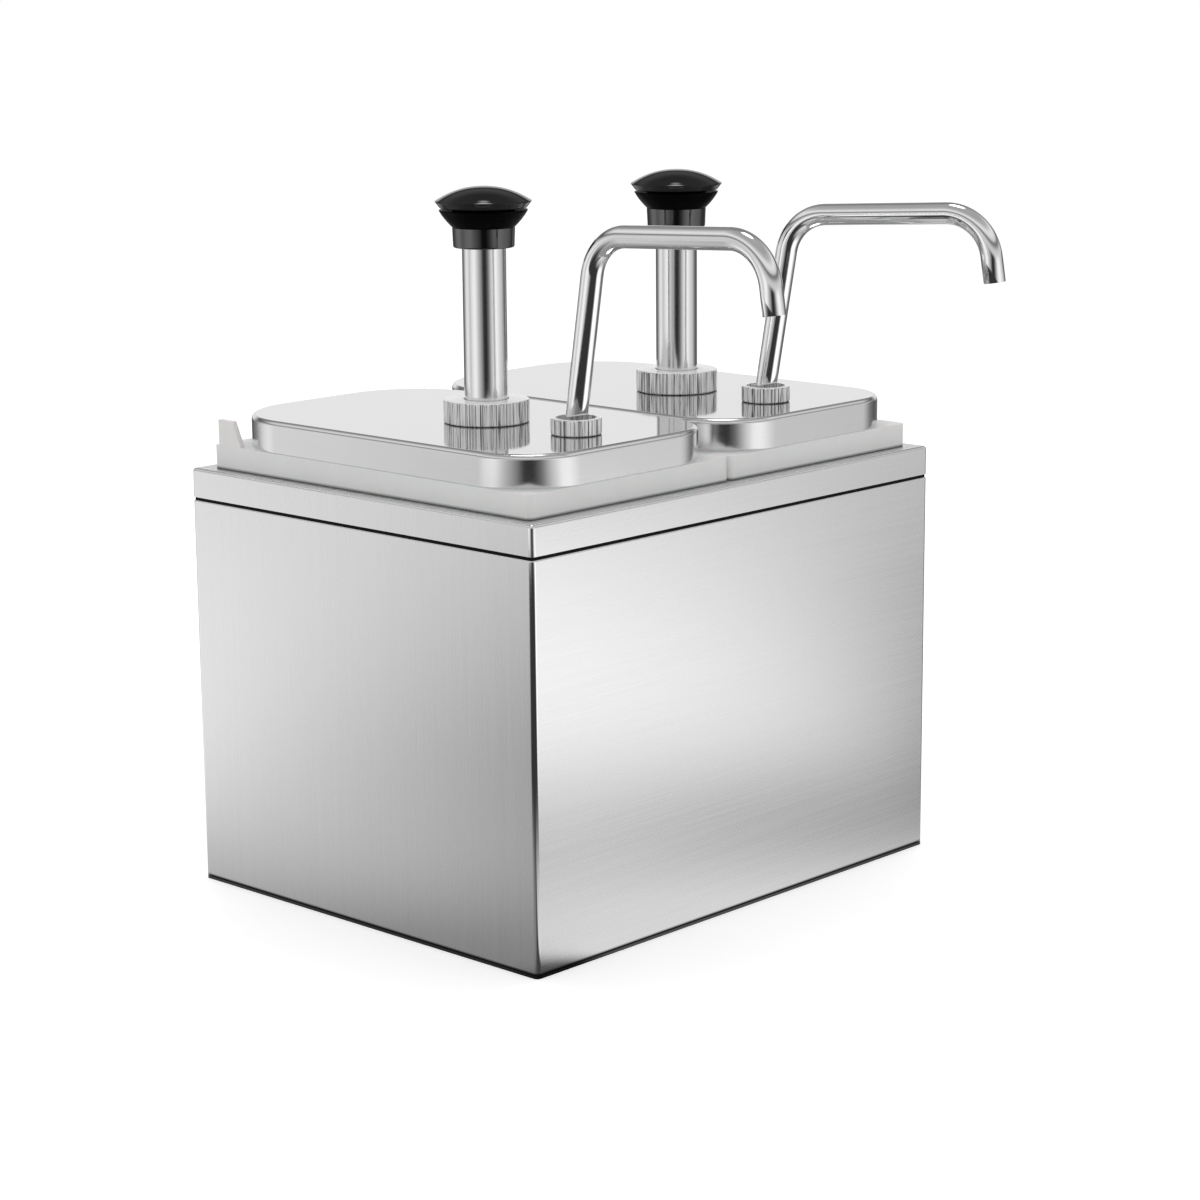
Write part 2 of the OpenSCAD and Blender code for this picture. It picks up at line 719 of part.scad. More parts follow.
module spout(side, turn) {
  legs = [
    [slide_clear, spout_lean, foot_bend_r], [riser_len, riser_turn, riser_bend_r],
    [run_len, outlet_turn, outlet_bend_r], [outlet_len, 0, 0]
  ];
  color("silver") at_spout(side) translate([0, 0, spout_foot_z]) rotate([0, 0, turn - 90]) {
    // Straight foot that turns in the fitting's socket
    difference() {
      cylinder(r = spout_r, h = foot_len);
      translate([0, 0, -cut]) cylinder(r = spout_r - spout_wall, h = foot_len + 2 * cut);
    }
    translate([0, 0, foot_len])
      bent_tube(legs, spout_r - slide_clear, spout_r - spout_wall + slide_clear);
  }
}

// Plunger

module plunger_tube(side) {
  color("silver") at_pump(side) translate([0, 0, plunger_bottom_z]) difference() {
    cylinder(d = plunger_d, h = plunger_below + knob_z + collar_h);
    translate([0, 0, -cut])
      cylinder(d = plunger_bore_d, h = plunger_below + knob_z + collar_h + 2 * cut);
  }
}

module stop_ring(side) {
  color("gray") at_pump(side) translate([0, 0, stop_ring_z]) difference() {
    cylinder(d = stop_ring_d, h = stop_ring_h);
    translate([0, 0, -cut]) cylinder(d = plunger_d, h = stop_ring_h + 2 * cut);
  }
}

module piston(side) {
  color("white") at_pump(side) difference() {
    union() {
      translate([0, 0, plunger_bottom_z - piston_h]) cylinder(d = piston_d, h = piston_h);
      translate([0, 0, plunger_bottom_z]) cylinder(d = plunger_bore_d, h = piston_spigot_h);
    }
    translate([0, 0, seal_z]) difference() {
      cylinder(d = piston_d + cut, h = seal_h);
      translate([0, 0, -cut]) cylinder(d = seal_groove_d, h = seal_h + 2 * cut);
    }
  }
}

// Rubber seal with two lips, one at each end
module piston_seal(side) {
  seal_r = cylinder_bore_d / 2 - slide_clear;
  groove_r = seal_groove_d / 2;
  waist_r = seal_r - seal_waist;
  color("dimgray") at_pump(side) translate([0, 0, seal_z]) rotate_extrude() polygon([
    [groove_r, 0], [seal_r, 0], [seal_r, seal_lip_h], [waist_r, seal_h / 2],
    [seal_r, seal_h - seal_lip_h], [seal_r, seal_h], [groove_r, seal_h]
  ]);
}

module return_spring(side) {
  color("gray") at_pump(side) translate([0, 0, cylinder_bottom_z + slide_clear])
    coil_spring(plunger_bottom_z - piston_h - cylinder_bottom_z - rest_clear);
}

// Knob

module knob_collar(side) {
  top_r = collar_d / 2;
  foot_r = top_r - collar_draft;
  color("black") at_pump(side) translate([0, 0, collar_bottom_z]) rotate_extrude()
    polygon([
      [plunger_d / 2, 0], [foot_r - knurl_chamfer, 0], [foot_r, knurl_chamfer],
      [top_r, collar_h], [plunger_d / 2, collar_h]
    ]);
}

// Bowl under the dome, a cone with a slightly swollen side
module knob_cup(side) {
  foot_r = collar_d / 2;
  top_r = cup_top_d / 2;
  steps = 6;
  flare = [
    for (i = [0 : steps])
      let (t = i / steps)
        [foot_r + (top_r - foot_r) * (t + cup_bulge * t * (1 - t)), (cup_h - cup_edge) * t]
  ];
  color("black") at_pump(side) translate([0, 0, collar_bottom_z + collar_h])
    rotate_extrude() polygon(concat(
      [[stud_d / 2, 0]], flare,
      [[top_r, cup_h], [foot_r, cup_h], [foot_r, cup_h + dome_gap],
       [stud_d / 2, cup_h + dome_gap]]
    ));
}

// Domed cap like a lens: slanted underside, thin round rim and a flat crown
module knob_cap(side) {
  rim_r = knob_d / 2;
  crown_r = rim_r - dome_rim_r;
  crown_z = dome_rim_z + dome_rim_r;
  steps = 10;
  edge = [
    for (a = [-45 : 45 : 45])
      [crown_r + dome_rim_r * cos(a), dome_rim_z + dome_rim_r * sin(a)]
  ];
  crown = [
    for (i = [0 : steps - 1])
      let (t = 1 - i / steps)
        [crown_r * t, crown_z + (dome_h - crown_z) * (1 - pow(t, dome_round))]
  ];
  stud_top = stud_above - cup_h - dome_gap;
  color("black") at_pump(side)
    translate([0, 0, collar_bottom_z + collar_h + cup_h + dome_gap])
      rotate_extrude() polygon(concat(
        [[stud_d / 2, stud_top], [stud_d / 2, 0], [rim_r - dome_under_in, 0]],
        edge, crown, [[0, dome_h], [0, stud_top]]
      ));
}

module knob_stud(side) {
  plug_top_z = collar_bottom_z + collar_h;
  color("gray") at_pump(side) {
    translate([0, 0, plug_top_z - stud_plug_h]) cylinder(d = plunger_bore_d, h = stud_plug_h);
    translate([0, 0, plug_top_z - slide_clear]) cylinder(d = stud_d, h = stud_above + slide_clear);
  }
}

housing_shell();
base_tray();
top_frame();
seam_gasket();

jar(-1);  // left_jar
lid(-1);  // left_lid
pump_nut(-1);  // left_pump_nut
pump_gasket(-1);  // left_pump_gasket
pump_cylinder(-1);  // left_pump_cylinder
plunger_bush(-1);  // left_plunger_bush
valve_body(-1);  // left_valve_body
inlet_seat(-1);  // left_inlet_seat
inlet_ball(-1);  // left_inlet_ball
riser_tube(-1);  // left_riser_tube
spout_fitting(-1);  // left_spout_fitting
outlet_ball(-1);  // left_outlet_ball
spout_seal(-1);  // left_spout_seal
spout_nut(-1);  // left_spout_nut
spout(-1, left_spout_turn);  // left_spout
plunger_tube(-1);  // left_plunger_tube
stop_ring(-1);  // left_stop_ring
piston(-1);  // left_piston
piston_seal(-1);  // left_piston_seal
return_spring(-1);  // left_return_spring
knob_collar(-1);  // left_knob_collar
knob_cup(-1);  // left_knob_cup
knob_cap(-1);  // left_knob_cap
knob_stud(-1);  // left_knob_stud

jar(1);  // right_jar
lid(1);  // right_lid
pump_nut(1);  // right_pump_nut
pump_gasket(1);  // right_pump_gasket
pump_cylinder(1);  // right_pump_cylinder
plunger_bush(1);  // right_plunger_bush
valve_body(1);  // right_valve_body
inlet_seat(1);  // right_inlet_seat
inlet_ball(1);  // right_inlet_ball
riser_tube(1);  // right_riser_tube
spout_fitting(1);  // right_spout_fitting
outlet_ball(1);  // right_outlet_ball
spout_seal(1);  // right_spout_seal
spout_nut(1);  // right_spout_nut
spout(1, right_spout_turn);  // right_spout
plunger_tube(1);  // right_plunger_tube
stop_ring(1);  // right_stop_ring
piston(1);  // right_piston
piston_seal(1);  // right_piston_seal
return_spring(1);  // right_return_spring
knob_collar(1);  // right_knob_collar
knob_cup(1);  // right_knob_cup
knob_cap(1);  // right_knob_cap
knob_stud(1);  // right_knob_stud
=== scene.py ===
import json
import math
import random

import bmesh
import bpy
from mathutils import Matrix, Vector


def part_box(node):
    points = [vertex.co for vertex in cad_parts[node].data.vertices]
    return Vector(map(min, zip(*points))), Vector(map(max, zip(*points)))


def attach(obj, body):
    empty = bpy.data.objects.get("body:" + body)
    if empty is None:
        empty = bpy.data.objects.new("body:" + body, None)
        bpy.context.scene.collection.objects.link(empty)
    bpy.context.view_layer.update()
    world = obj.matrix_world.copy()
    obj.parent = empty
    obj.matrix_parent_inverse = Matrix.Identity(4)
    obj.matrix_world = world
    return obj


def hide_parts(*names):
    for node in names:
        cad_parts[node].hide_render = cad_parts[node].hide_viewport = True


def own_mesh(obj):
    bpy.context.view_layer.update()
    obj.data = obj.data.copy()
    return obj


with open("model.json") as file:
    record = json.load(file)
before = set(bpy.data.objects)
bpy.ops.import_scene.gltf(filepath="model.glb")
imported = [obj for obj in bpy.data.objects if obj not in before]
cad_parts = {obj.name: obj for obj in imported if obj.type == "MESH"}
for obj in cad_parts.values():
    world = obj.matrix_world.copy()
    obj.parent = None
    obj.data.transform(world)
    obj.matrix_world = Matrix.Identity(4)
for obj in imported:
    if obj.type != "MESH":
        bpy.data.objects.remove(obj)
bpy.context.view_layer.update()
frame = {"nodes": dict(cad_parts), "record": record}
nodes = frame["nodes"]
random.seed(7)
mm = 0.001
sameHeight = 0.01 * mm  # heights closer than this are the same
weld = 0.001 * mm  # vertices closer than this merge
overrun = 10 * mm  # how far a cutting block stands past what it cuts
print("frame loaded:", len(nodes), "nodes")

# Places that every piece is built from, read from the CAD nodes
shellLow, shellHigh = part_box("housing_shell")
frameLow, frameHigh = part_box("top_frame")
jarLow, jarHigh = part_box("left_jar")
lidLow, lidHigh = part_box("left_lid")
nutLow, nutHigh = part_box("left_pump_nut")
spoutNutLow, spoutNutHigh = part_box("left_spout_nut")
tubeLow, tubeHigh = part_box("left_plunger_tube")
pumpAxis = (nutLow + nutHigh) / 2
spoutAxis = (spoutNutLow + spoutNutHigh) / 2
lidTop = lidHigh.z
stationShift = Vector((-2 * pumpAxis.x, 0, 0))
sides = ("left", "right")

# The photograph's viewing angle: metres, degrees, and millimetres for the lens
camera = {
    "place": (-0.9019, -0.8687, 0.3845),
    "heading": -46.714,
    "lookDown": 12.18,
    "roll": -0.474,
    "lens": 91.1,
    "sensor": 36,
    "nearest": 0.01,
}


def makeCamera():
    data = bpy.data.cameras.new("camera")
    data.lens = camera["lens"]
    data.sensor_width = camera["sensor"]
    data.clip_start = camera["nearest"]
    obj = bpy.data.objects.new("camera", data)
    bpy.context.scene.collection.objects.link(obj)
    turn = Matrix.Rotation(math.radians(camera["heading"]), 4, "Z")
    tilt = Matrix.Rotation(math.radians(90 - camera["lookDown"]), 4, "X")
    roll = Matrix.Rotation(math.radians(camera["roll"]), 4, "Z")
    obj.matrix_world = Matrix.Translation(camera["place"]) @ turn @ tilt @ roll
    bpy.context.scene.camera = obj


makeCamera()


# Shader maths: a Value wraps one output socket, and expressions on it add Math nodes
class Value:
    def __init__(self, finish, socket):
        self.finish = finish
        self.socket = socket

    def maths(self, operation, first, second=0.0, clamp=False):
        return self.finish.node("ShaderNodeMath", {"operation": operation, "use_clamp": clamp},
                                {0: first, 1: second})

    def __add__(self, other):
        return self.maths("ADD", self, other)

    def __radd__(self, other):
        return self.maths("ADD", other, self)

    def __sub__(self, other):
        return self.maths("SUBTRACT", self, other)

    def __rsub__(self, other):
        return self.maths("SUBTRACT", other, self)

    def __mul__(self, other):
        return self.maths("MULTIPLY", self, other)

    def __rmul__(self, other):
        return self.maths("MULTIPLY", other, self)

    def __truediv__(self, other):
        return self.maths("DIVIDE", self, other)

    def __pow__(self, other):
        return self.maths("POWER", self, other)

    def __gt__(self, other):
        return self.maths("GREATER_THAN", self, other)

    def size(self):
        return self.maths("ABSOLUTE", self)

    def clamped(self):
        return self.maths("ADD", self, 0.0, clamp=True)


# A material being built
class Finish:
    def __init__(self, name, tree=None):
        if tree is None:
            self.material = bpy.data.materials.new(name)
            self.material.use_nodes = True
            tree = self.material.node_tree
        self.tree = tree
        self.tree.nodes.clear()

    def node(self, kind, settings=None, inputs=None, output=0):
        made = self.tree.nodes.new(kind)
        for key, setting in (settings or {}).items():
            if key == "stops":
                ramp = made.color_ramp
                while len(ramp.elements) < len(setting):
                    ramp.elements.new(0.5)
                for element, (place, colour) in zip(ramp.elements, setting):
                    element.position = place
                    element.color = colour
            else:
                setattr(made, key, setting)
        for key, value in (inputs or {}).items():
            if isinstance(value, Value):
                self.tree.links.new(value.socket, made.inputs[key])
            else:
                made.inputs[key].default_value = value
        return Value(self, made.outputs[output]) if made.outputs else None

    # Noise whose grains per metre differ along each axis
    def noise(self, scale, detail=2.0):
        here = self.node("ShaderNodeTexCoord", output="Object")
        point = self.node("ShaderNodeMapping", {}, {"Vector": here, "Scale": scale})
        return self.node("ShaderNodeTexNoise", {}, {
            "Vector": point, "Scale": 1.0, "Detail": detail, "Roughness": 0.5})

    def axis(self, vector, index):
        return self.node("ShaderNodeSeparateXYZ", {}, {0: vector}, output=index)

    def place(self, index):
        return self.axis(self.node("ShaderNodeTexCoord", output="Object"), index)

    def facing(self, index):
        return self.axis(self.node("ShaderNodeTexCoord", output="Normal"), index)

    def mixed(self, share, low, high):
        return self.node("ShaderNodeMix", {"data_type": "RGBA"}, {0: share, 6: low, 7: high}, 2)

    def grey(self, value):
        return self.node("ShaderNodeCombineColor", {}, {0: value, 1: value, 2: value})

    def bump(self, height, strength, distance):
        return self.node("ShaderNodeBump", {}, {
            "Height": height, "Strength": strength, "Distance": distance})

    def surface(self, **sockets):
        names = {"baseColor": "Base Color", "metallic": "Metallic", "roughness": "Roughness",
                 "normal": "Normal", "specular": "Specular IOR Level", "ior": "IOR",
                 "subsurface": "Subsurface Weight", "subsurfaceScale": "Subsurface Scale"}
        shader = self.node("ShaderNodeBsdfPrincipled", {},
                           {names[key]: value for key, value in sockets.items()})
        self.node("ShaderNodeOutputMaterial", {}, {"Surface": shader})
        return self.material


steel = {
    "housingGrey": 0.82, "lidGrey": 0.76, "nutGrey": 0.98, "tubeGrey": 0.78, "spoutGrey": 0.82,
    "innerGrey": 0.80,
    # grains per metre of the brushed lines and of the broader bands among them
    "lineAcross": 2300.0, "lineAlong": 14.0, "bandAcross": 420.0, "bandAlong": 5.0,
    "brushedRough": 0.28, "mirrorRough": 0.045, "satinRough": 0.17, "knurlRough": 0.24,
    # heights of the painted crevice shade over the lid, the frame and the tray
    "nutPaintedShade": 0.8 * mm, "rimPaintedShade": 1.3 * mm, "basePaintedShade": 0.8 * mm,
    # facing above which a wall counts as a side, and a top as flat
    "sideFacing": 0.6, "topFacing": 0.97, "nutTopFacing": 0.8,
    # share of the roughness that the polished folds lose, and how sharply they set in
    "foldPolish": 0.72, "foldSharpness": 6,
    # painted shade lines on the nuts: noise level above which they begin, sharpness, darkness
    "shadeLineLevel": 0.525, "shadeLineSharpness": 18, "shadeLineDark": 0.88, "nutMetallic": 0.22,
    # darkness of the painted shade at the nuts' feet and at the shell's foot
    "nutPaintedShadeDark": 0.93, "basePaintedShadeDark": 0.9,
}


def brushedHousing():
    finish = Finish("housingSteel")
    across, along = steel["lineAcross"], steel["lineAlong"]
    wide, long = steel["bandAcross"], steel["bandAlong"]
    # Side walls are brushed upright, front, back and frame along X
    sideMask = finish.facing(0).size() > steel["sideFacing"]
    upright = finish.noise((across, across, along), 3.0)
    level = finish.noise((along, across, across), 3.0)
    uprightBand = finish.noise((wide, wide, long), 2.0)
    levelBand = finish.noise((long, wide, wide), 2.0)
    lines = upright * sideMask + level * (1 - sideMask)
    bands = uprightBand * sideMask + levelBand * (1 - sideMask)
    grey = steel["housingGrey"] + 0.05 * (lines - 0.5) + 0.05 * (bands - 0.5)
    # The folded corners are polished
    fold = (finish.facing(0) * finish.facing(1)).size()
    fold = (fold * steel["foldSharpness"]).clamped()
    rough = steel["brushedRough"] + 0.12 * (lines - 0.5) + 0.05 * (bands - 0.5)
    rough = rough * (1 - steel["foldPolish"] * fold)
    # Painted shade in the crevice where the shell stands on the tray: the grey darkens towards
    # the shell's bottom edge
    paintedShade = 1 - ((finish.place(2) - shellLow.z) / steel["basePaintedShade"]).clamped()
    grey = grey * (1 - steel["basePaintedShadeDark"] * paintedShade)
    normal = finish.bump(lines, 0.12, 0.04 * mm)
    return finish.surface(baseColor=finish.grey(grey), metallic=1.0, roughness=rough,
                          normal=normal)


def polishedLid():
    finish = Finish("polishedSteel")
    # The flat top is polished like a mirror, the rolled edge and skirt are satin
    topMask = finish.facing(2) > steel["topFacing"]
    haze = finish.noise((35, 35, 35), 3.0)
    lines = finish.noise((60, 60, 3200), 2.0)
    mirror = steel["mirrorRough"] + 0.03 * haze
    satin = steel["satinRough"] + 0.10 * (lines - 0.5)
    rough = topMask * mirror + (1 - topMask) * satin
    grey = steel["lidGrey"] + 0.03 * (haze - 0.5) + 0.05 * (lines - 0.5) * (1 - topMask)
    return finish.surface(baseColor=finish.grey(grey), metallic=1.0, roughness=rough)


# Polished or turned metal: wear varies its grey, relief its bump
def turnedSteel(name, grey, rough, lineScale=(2600, 2600, 26), wear=0.08, relief=0.15):
    finish = Finish(name)
    lines = finish.noise(lineScale, 3.0)
    clouds = finish.noise((90, 90, 90), 2.0)
    tone = grey + wear * (lines - 0.5) + 0.05 * (clouds - 0.5)
    roughness = rough + 0.12 * (lines - 0.5) + 0.05 * (clouds - 0.5)
    normal = finish.bump(lines, relief, 0.03 * mm)
    return finish.surface(baseColor=finish.grey(tone), metallic=1.0, roughness=roughness,
                          normal=normal)


def knurledSteel():
    finish = Finish("nutSteel")
    lines = finish.noise((2300, 2300, 36), 3.0)
    clouds = finish.noise((90, 90, 90), 2.0)
    # Painted shade where a nut meets the lid: the grey darkens towards the nut's foot
    paintedShade = 1 - ((finish.place(2) - lidTop) / steel["nutPaintedShade"]).clamped()
    # Fine dark lines painted as the shade in the knurl's grooves, left off the turned top
    side = 1 - (finish.facing(2).size() > steel["nutTopFacing"])
    paintedShadeLines = ((lines - steel["shadeLineLevel"]) * steel["shadeLineSharpness"]).clamped() * side
    tone = (steel["nutGrey"] + 0.04 * (clouds - 0.5)) * (1 - steel["shadeLineDark"] * paintedShadeLines)
    tone = tone * (1 - steel["nutPaintedShadeDark"] * paintedShade)
    rough = steel["knurlRough"] + 0.16 * (lines - 0.5)
    normal = finish.bump(lines, 0.5, 0.08 * mm)
    # Low metallic, so that the ridges stay bright whatever they mirror
    return finish.surface(baseColor=finish.grey(tone), metallic=steel["nutMetallic"],
                          roughness=rough, normal=normal)


def whitePlastic():
    finish = Finish("containerPlastic")
    clouds = finish.noise((45, 45, 45), 3.0)
    grain = finish.noise((1800, 1800, 1800), 2.0)
    colour = finish.mixed(clouds, (0.80, 0.80, 0.795, 1), (0.87, 0.87, 0.865, 1))
    # Painted shade in the crevice between the rim and the frame it hangs on: the colour goes near
    # black towards the rim's foot
    foot = finish.place(2) - frameHigh.z
    paintedShade = (1 - (foot / steel["rimPaintedShade"]).clamped()) * (foot > -0.1 * mm)
    colour = finish.mixed(paintedShade, colour, (0.02, 0.02, 0.02, 1))
    normal = finish.bump(grain, 0.08, 0.05 * mm)
    return finish.surface(baseColor=colour, roughness=0.36 + 0.08 * grain, normal=normal,
                          subsurface=0.2, subsurfaceScale=3 * mm)


def blackPlastic(name, rough, shine, ior=1.5):
    finish = Finish(name)
    clouds = finish.noise((130, 130, 130), 3.0)
    grain = finish.noise((2600, 2600, 2600), 2.0)
    colour = finish.mixed(clouds, (0.0008, 0.0008, 0.0009, 1), (0.0018, 0.0018, 0.0020, 1))
    normal = finish.bump(grain, 0.05, 0.03 * mm)
    return finish.surface(baseColor=colour, roughness=rough + 0.04 * clouds, normal=normal,
                          specular=shine, ior=ior)


def darkRubber():
    finish = Finish("sealRubber")
    grain = finish.noise((1500, 1500, 1500), 3.0)
    colour = finish.mixed(grain, (0.004, 0.004, 0.004, 1), (0.010, 0.010, 0.010, 1))
    return finish.surface(baseColor=colour, roughness=0.72 + 0.1 * grain, specular=0.12,
                          normal=finish.bump(grain, 0.2, 0.05 * mm))


def innerPlastic():
    finish = Finish("innerPlastic")
    grain = finish.noise((900, 900, 900), 3.0)
    colour = finish.mixed(grain, (0.74, 0.74, 0.72, 1), (0.82, 0.82, 0.80, 1))
    return finish.surface(baseColor=colour, roughness=0.42 + 0.1 * grain)


finishes = {
    "housing": brushedHousing(),
    "lid": polishedLid(),
    "nut": knurledSteel(),
    "tube": turnedSteel("tubeSteel", steel["tubeGrey"], 0.12),
    "spout": turnedSteel("spoutSteel", steel["spoutGrey"], 0.07, (500, 500, 500), 0.05, 0.04),
    "inner": turnedSteel("innerSteel", steel["innerGrey"], 0.24, (60, 60, 2600), 0.05, 0.06),
    "jar": whitePlastic(),
    "dome": blackPlastic("domeBlack", 0.03, 0.5, ior=1.4),
    "cup": blackPlastic("cupBlack", 0.28, 0.03),
    "collar": blackPlastic("collarBlack", 0.04, 0.8, ior=1.7),
    "rubber": darkRubber(),
    "bush": innerPlastic(),
}
print("finishes made:", len(finishes))


# Modelling steps that every piece uses
def deselectAll():
    if bpy.context.mode != "OBJECT":
        bpy.ops.object.mode_set(mode="OBJECT")
    bpy.ops.object.select_all(action="DESELECT")


def pickOnly(obj):
    deselectAll()
    obj.select_set(True)
    bpy.context.view_layer.objects.active = obj


def openEdit(obj, kind="VERT"):
    pickOnly(obj)
    bpy.ops.object.mode_set(mode="EDIT")
    bpy.ops.mesh.select_mode(type=kind)
    bpy.ops.mesh.select_all(action="DESELECT")


def closeEdit():
    bpy.ops.object.mode_set(mode="OBJECT")


# In edit mode: selects the verts, edges or faces that pass the test
def selectParts(obj, kind, test):
    bpy.ops.mesh.select_mode(type={"verts": "VERT", "edges": "EDGE", "faces": "FACE"}[kind])
    bpy.ops.mesh.select_all(action="DESELECT")
    shape = bmesh.from_edit_mesh(obj.data)
    chosen = [part for part in getattr(shape, kind) if test(part)]
    for part in chosen:
        part.select = True
    shape.select_flush_mode()
    bmesh.update_edit_mesh(obj.data)
    return len(chosen)


def standsUp(edge):
    return abs(edge.verts[0].co.z - edge.verts[1].co.z) > 0.1 * mm


def liesAt(part, level):
    return all(abs(v.co.z - level) < sameHeight for v in part.verts)


def settle(obj):
    pickOnly(obj)
    bpy.ops.object.transform_apply(location=True, rotation=True, scale=True)


def useModifier(obj, kind, **settings):
    pickOnly(obj)
    modifier = obj.modifiers.new(kind.lower(), kind)
    for key, setting in settings.items():
        setattr(modifier, key, setting)
    bpy.ops.object.modifier_apply(modifier=modifier.name)


def cutWith(obj, cutter, operation="DIFFERENCE"):
    useModifier(obj, "BOOLEAN", operation=operation, object=cutter, solver="EXACT")
    bpy.data.objects.remove(cutter)


def cleanMesh(obj, distance):
    openEdit(obj)
    bpy.ops.mesh.select_all(action="SELECT")
    bpy.ops.mesh.remove_doubles(threshold=distance)
    bpy.ops.mesh.normals_make_consistent(inside=False)
    closeEdit()


def copyMoved(obj, shift):
    twin = obj.copy()
    twin.data = obj.data.copy()
    bpy.context.scene.collection.objects.link(twin)
    twin.location = twin.location + Vector(shift)
    settle(twin)
    return twin


def finishPiece(obj, name, body, finish, slot, replaced=(), angle=32, weighted=False):
    obj.name = name
    obj.data.name = name
    pickOnly(obj)
    bpy.ops.object.shade_smooth_by_angle(angle=math.radians(angle))
    if weighted:
        useModifier(obj, "WEIGHTED_NORMAL", keep_sharp=True, weight=80)
    obj.data.materials.clear()
    obj.data.materials.append(finishes[finish])
    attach(obj, body)
    if replaced:
        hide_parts(*replaced)


# The left piece as it stands and its copy on the right station
def bothSides(obj, name, body, finish, slot, nodeNames, **looks):
    twin = copyMoved(obj, stationShift)
    for side, piece in zip(sides, (obj, twin)):
        replaced = [f"{side}_{node}" for node in nodeNames]
        finishPiece(piece, f"{side}{name}", f"{side}_{body}", finish, slot, replaced, **looks)


# Box between two corners with rounded upright edges, and rolled top and bottom edges
def roundedBox(low, high, cornerRadius, segments=8, topRadius=0.0, topSegments=4,
               bottomRadius=0.0, taper=0.0, rearRadius=None):
    low, high = Vector(low), Vector(high)
    deselectAll()
    bpy.ops.mesh.primitive_cube_add(size=1, location=(low + high) / 2)
    obj = bpy.context.object
    obj.scale = high - low
    settle(obj)
    openEdit(obj, "EDGE")
    middle = (low.y + high.y) / 2
    for front, radius in ((True, cornerRadius), (False, rearRadius or cornerRadius)):
        selectParts(obj, "edges", lambda e: standsUp(e) and (e.verts[0].co.y < middle) == front)
        bpy.ops.mesh.bevel(offset=radius, segments=segments, affect="EDGES")
    if taper:
        width, depth = high.x - low.x, high.y - low.y
        centre = (low + high) / 2
        selectParts(obj, "verts", lambda v: v.co.z < low.z + sameHeight)
        bpy.ops.transform.resize(value=(1 - 2 * taper / width, 1 - 2 * taper / depth, 1),
                                 center_override=centre)
    for radius, level in ((topRadius, high.z), (bottomRadius, low.z)):
        if radius:
            selectParts(obj, "edges", lambda e: liesAt(e, level))
            bpy.ops.mesh.bevel(offset=radius, segments=topSegments, affect="EDGES")
    closeEdit()
    return obj


# Takes away the flat face that lies at this height
def openAt(obj, level):
    openEdit(obj, "FACE")
    selectParts(obj, "faces", lambda f: liesAt(f, level))
    bpy.ops.mesh.delete(type="FACE")
    closeEdit()


# Lathe work: the profile's points are (radius, height), spun once round the upright axis
def turned(profile, centre, steps=96):
    deselectAll()
    bpy.ops.mesh.primitive_circle_add(vertices=3, radius=mm, location=(0, 0, 0))
    obj = bpy.context.object
    openEdit(obj)
    # One vertex, from which the profile is extruded
    bpy.ops.mesh.select_all(action="SELECT")
    bpy.ops.mesh.merge(type="CENTER")
    bpy.ops.mesh.select_all(action="SELECT")
    here = Vector((profile[0][0], 0, profile[0][1]))
    bpy.ops.transform.translate(value=here)
    for radius, height in profile[1:]:
        there = Vector((radius, 0, height))
        bpy.ops.mesh.extrude_region_move(TRANSFORM_OT_translate={"value": there - here})
        here = there
    bpy.ops.mesh.select_all(action="SELECT")
    bpy.ops.mesh.spin(steps=steps, angle=2 * math.pi, center=(0, 0, 0), axis=(0, 0, 1))
    bpy.ops.mesh.select_all(action="SELECT")
    bpy.ops.mesh.remove_doubles(threshold=weld)
    bpy.ops.mesh.normals_make_consistent(inside=False)
    closeEdit()
    obj.location = centre
    settle(obj)
    return obj


# Points (radius, height) along an arc, for profiles
def arcPoints(centre, radius, start, end, steps):
    made = []
    for k in range(steps + 1):
        a = math.radians(start + (end - start) * k / steps)
        made.append((centre[0] + radius * math.cos(a), centre[1] + radius * math.sin(a)))
    return made


# Housing: folded shell with a shoulder and upstand, and the frame that covers it
housing = {
    "sheet": 1.0 * mm, "foldRadius": 2.0 * mm, "upstandIn": 1.25 * mm, "seam": 1.3 * mm,
    "topFold": 0.6 * mm, "frameEdge": 1.3 * mm, "lipDepth": 7 * mm, "lipTuck": 0.3 * mm,
    "openingRadius": 14.8 * mm, "openingClear": 0.8 * mm, "openingSegments": 10,
    "rimOverhang": 8 * mm, "outerBand": 0.7 * mm,
}


def makeShell():
    shellTop = frameLow.z - housing["seam"]
    obj = roundedBox(shellLow, (shellHigh.x, shellHigh.y, shellTop), housing["foldRadius"])
    openAt(obj, shellLow.z)
    openEdit(obj, "FACE")
    selectParts(obj, "faces", lambda f: f.normal.z > 0.9)
    bpy.ops.mesh.inset(thickness=housing["upstandIn"])
    bpy.ops.mesh.extrude_region_move(
        TRANSFORM_OT_translate={"value": (0, 0, shellHigh.z - shellTop)})
    bpy.ops.mesh.delete(type="FACE")

    def outer(vert):
        inward = min(shellHigh.x - abs(vert.co.x), shellHigh.y - abs(vert.co.y))
        return inward < housing["outerBand"]

    selectParts(obj, "edges", lambda e: liesAt(e, shellTop) and all(map(outer, e.verts)))
    bpy.ops.mesh.bevel(offset=housing["topFold"], segments=3, affect="EDGES")
    closeEdit()
    useModifier(obj, "SOLIDIFY", thickness=housing["sheet"], offset=-1, use_even_offset=True)
    finishPiece(obj, "housingShell", "housing", "housing", "housing_steel", ["housing_shell"],
                weighted=True)


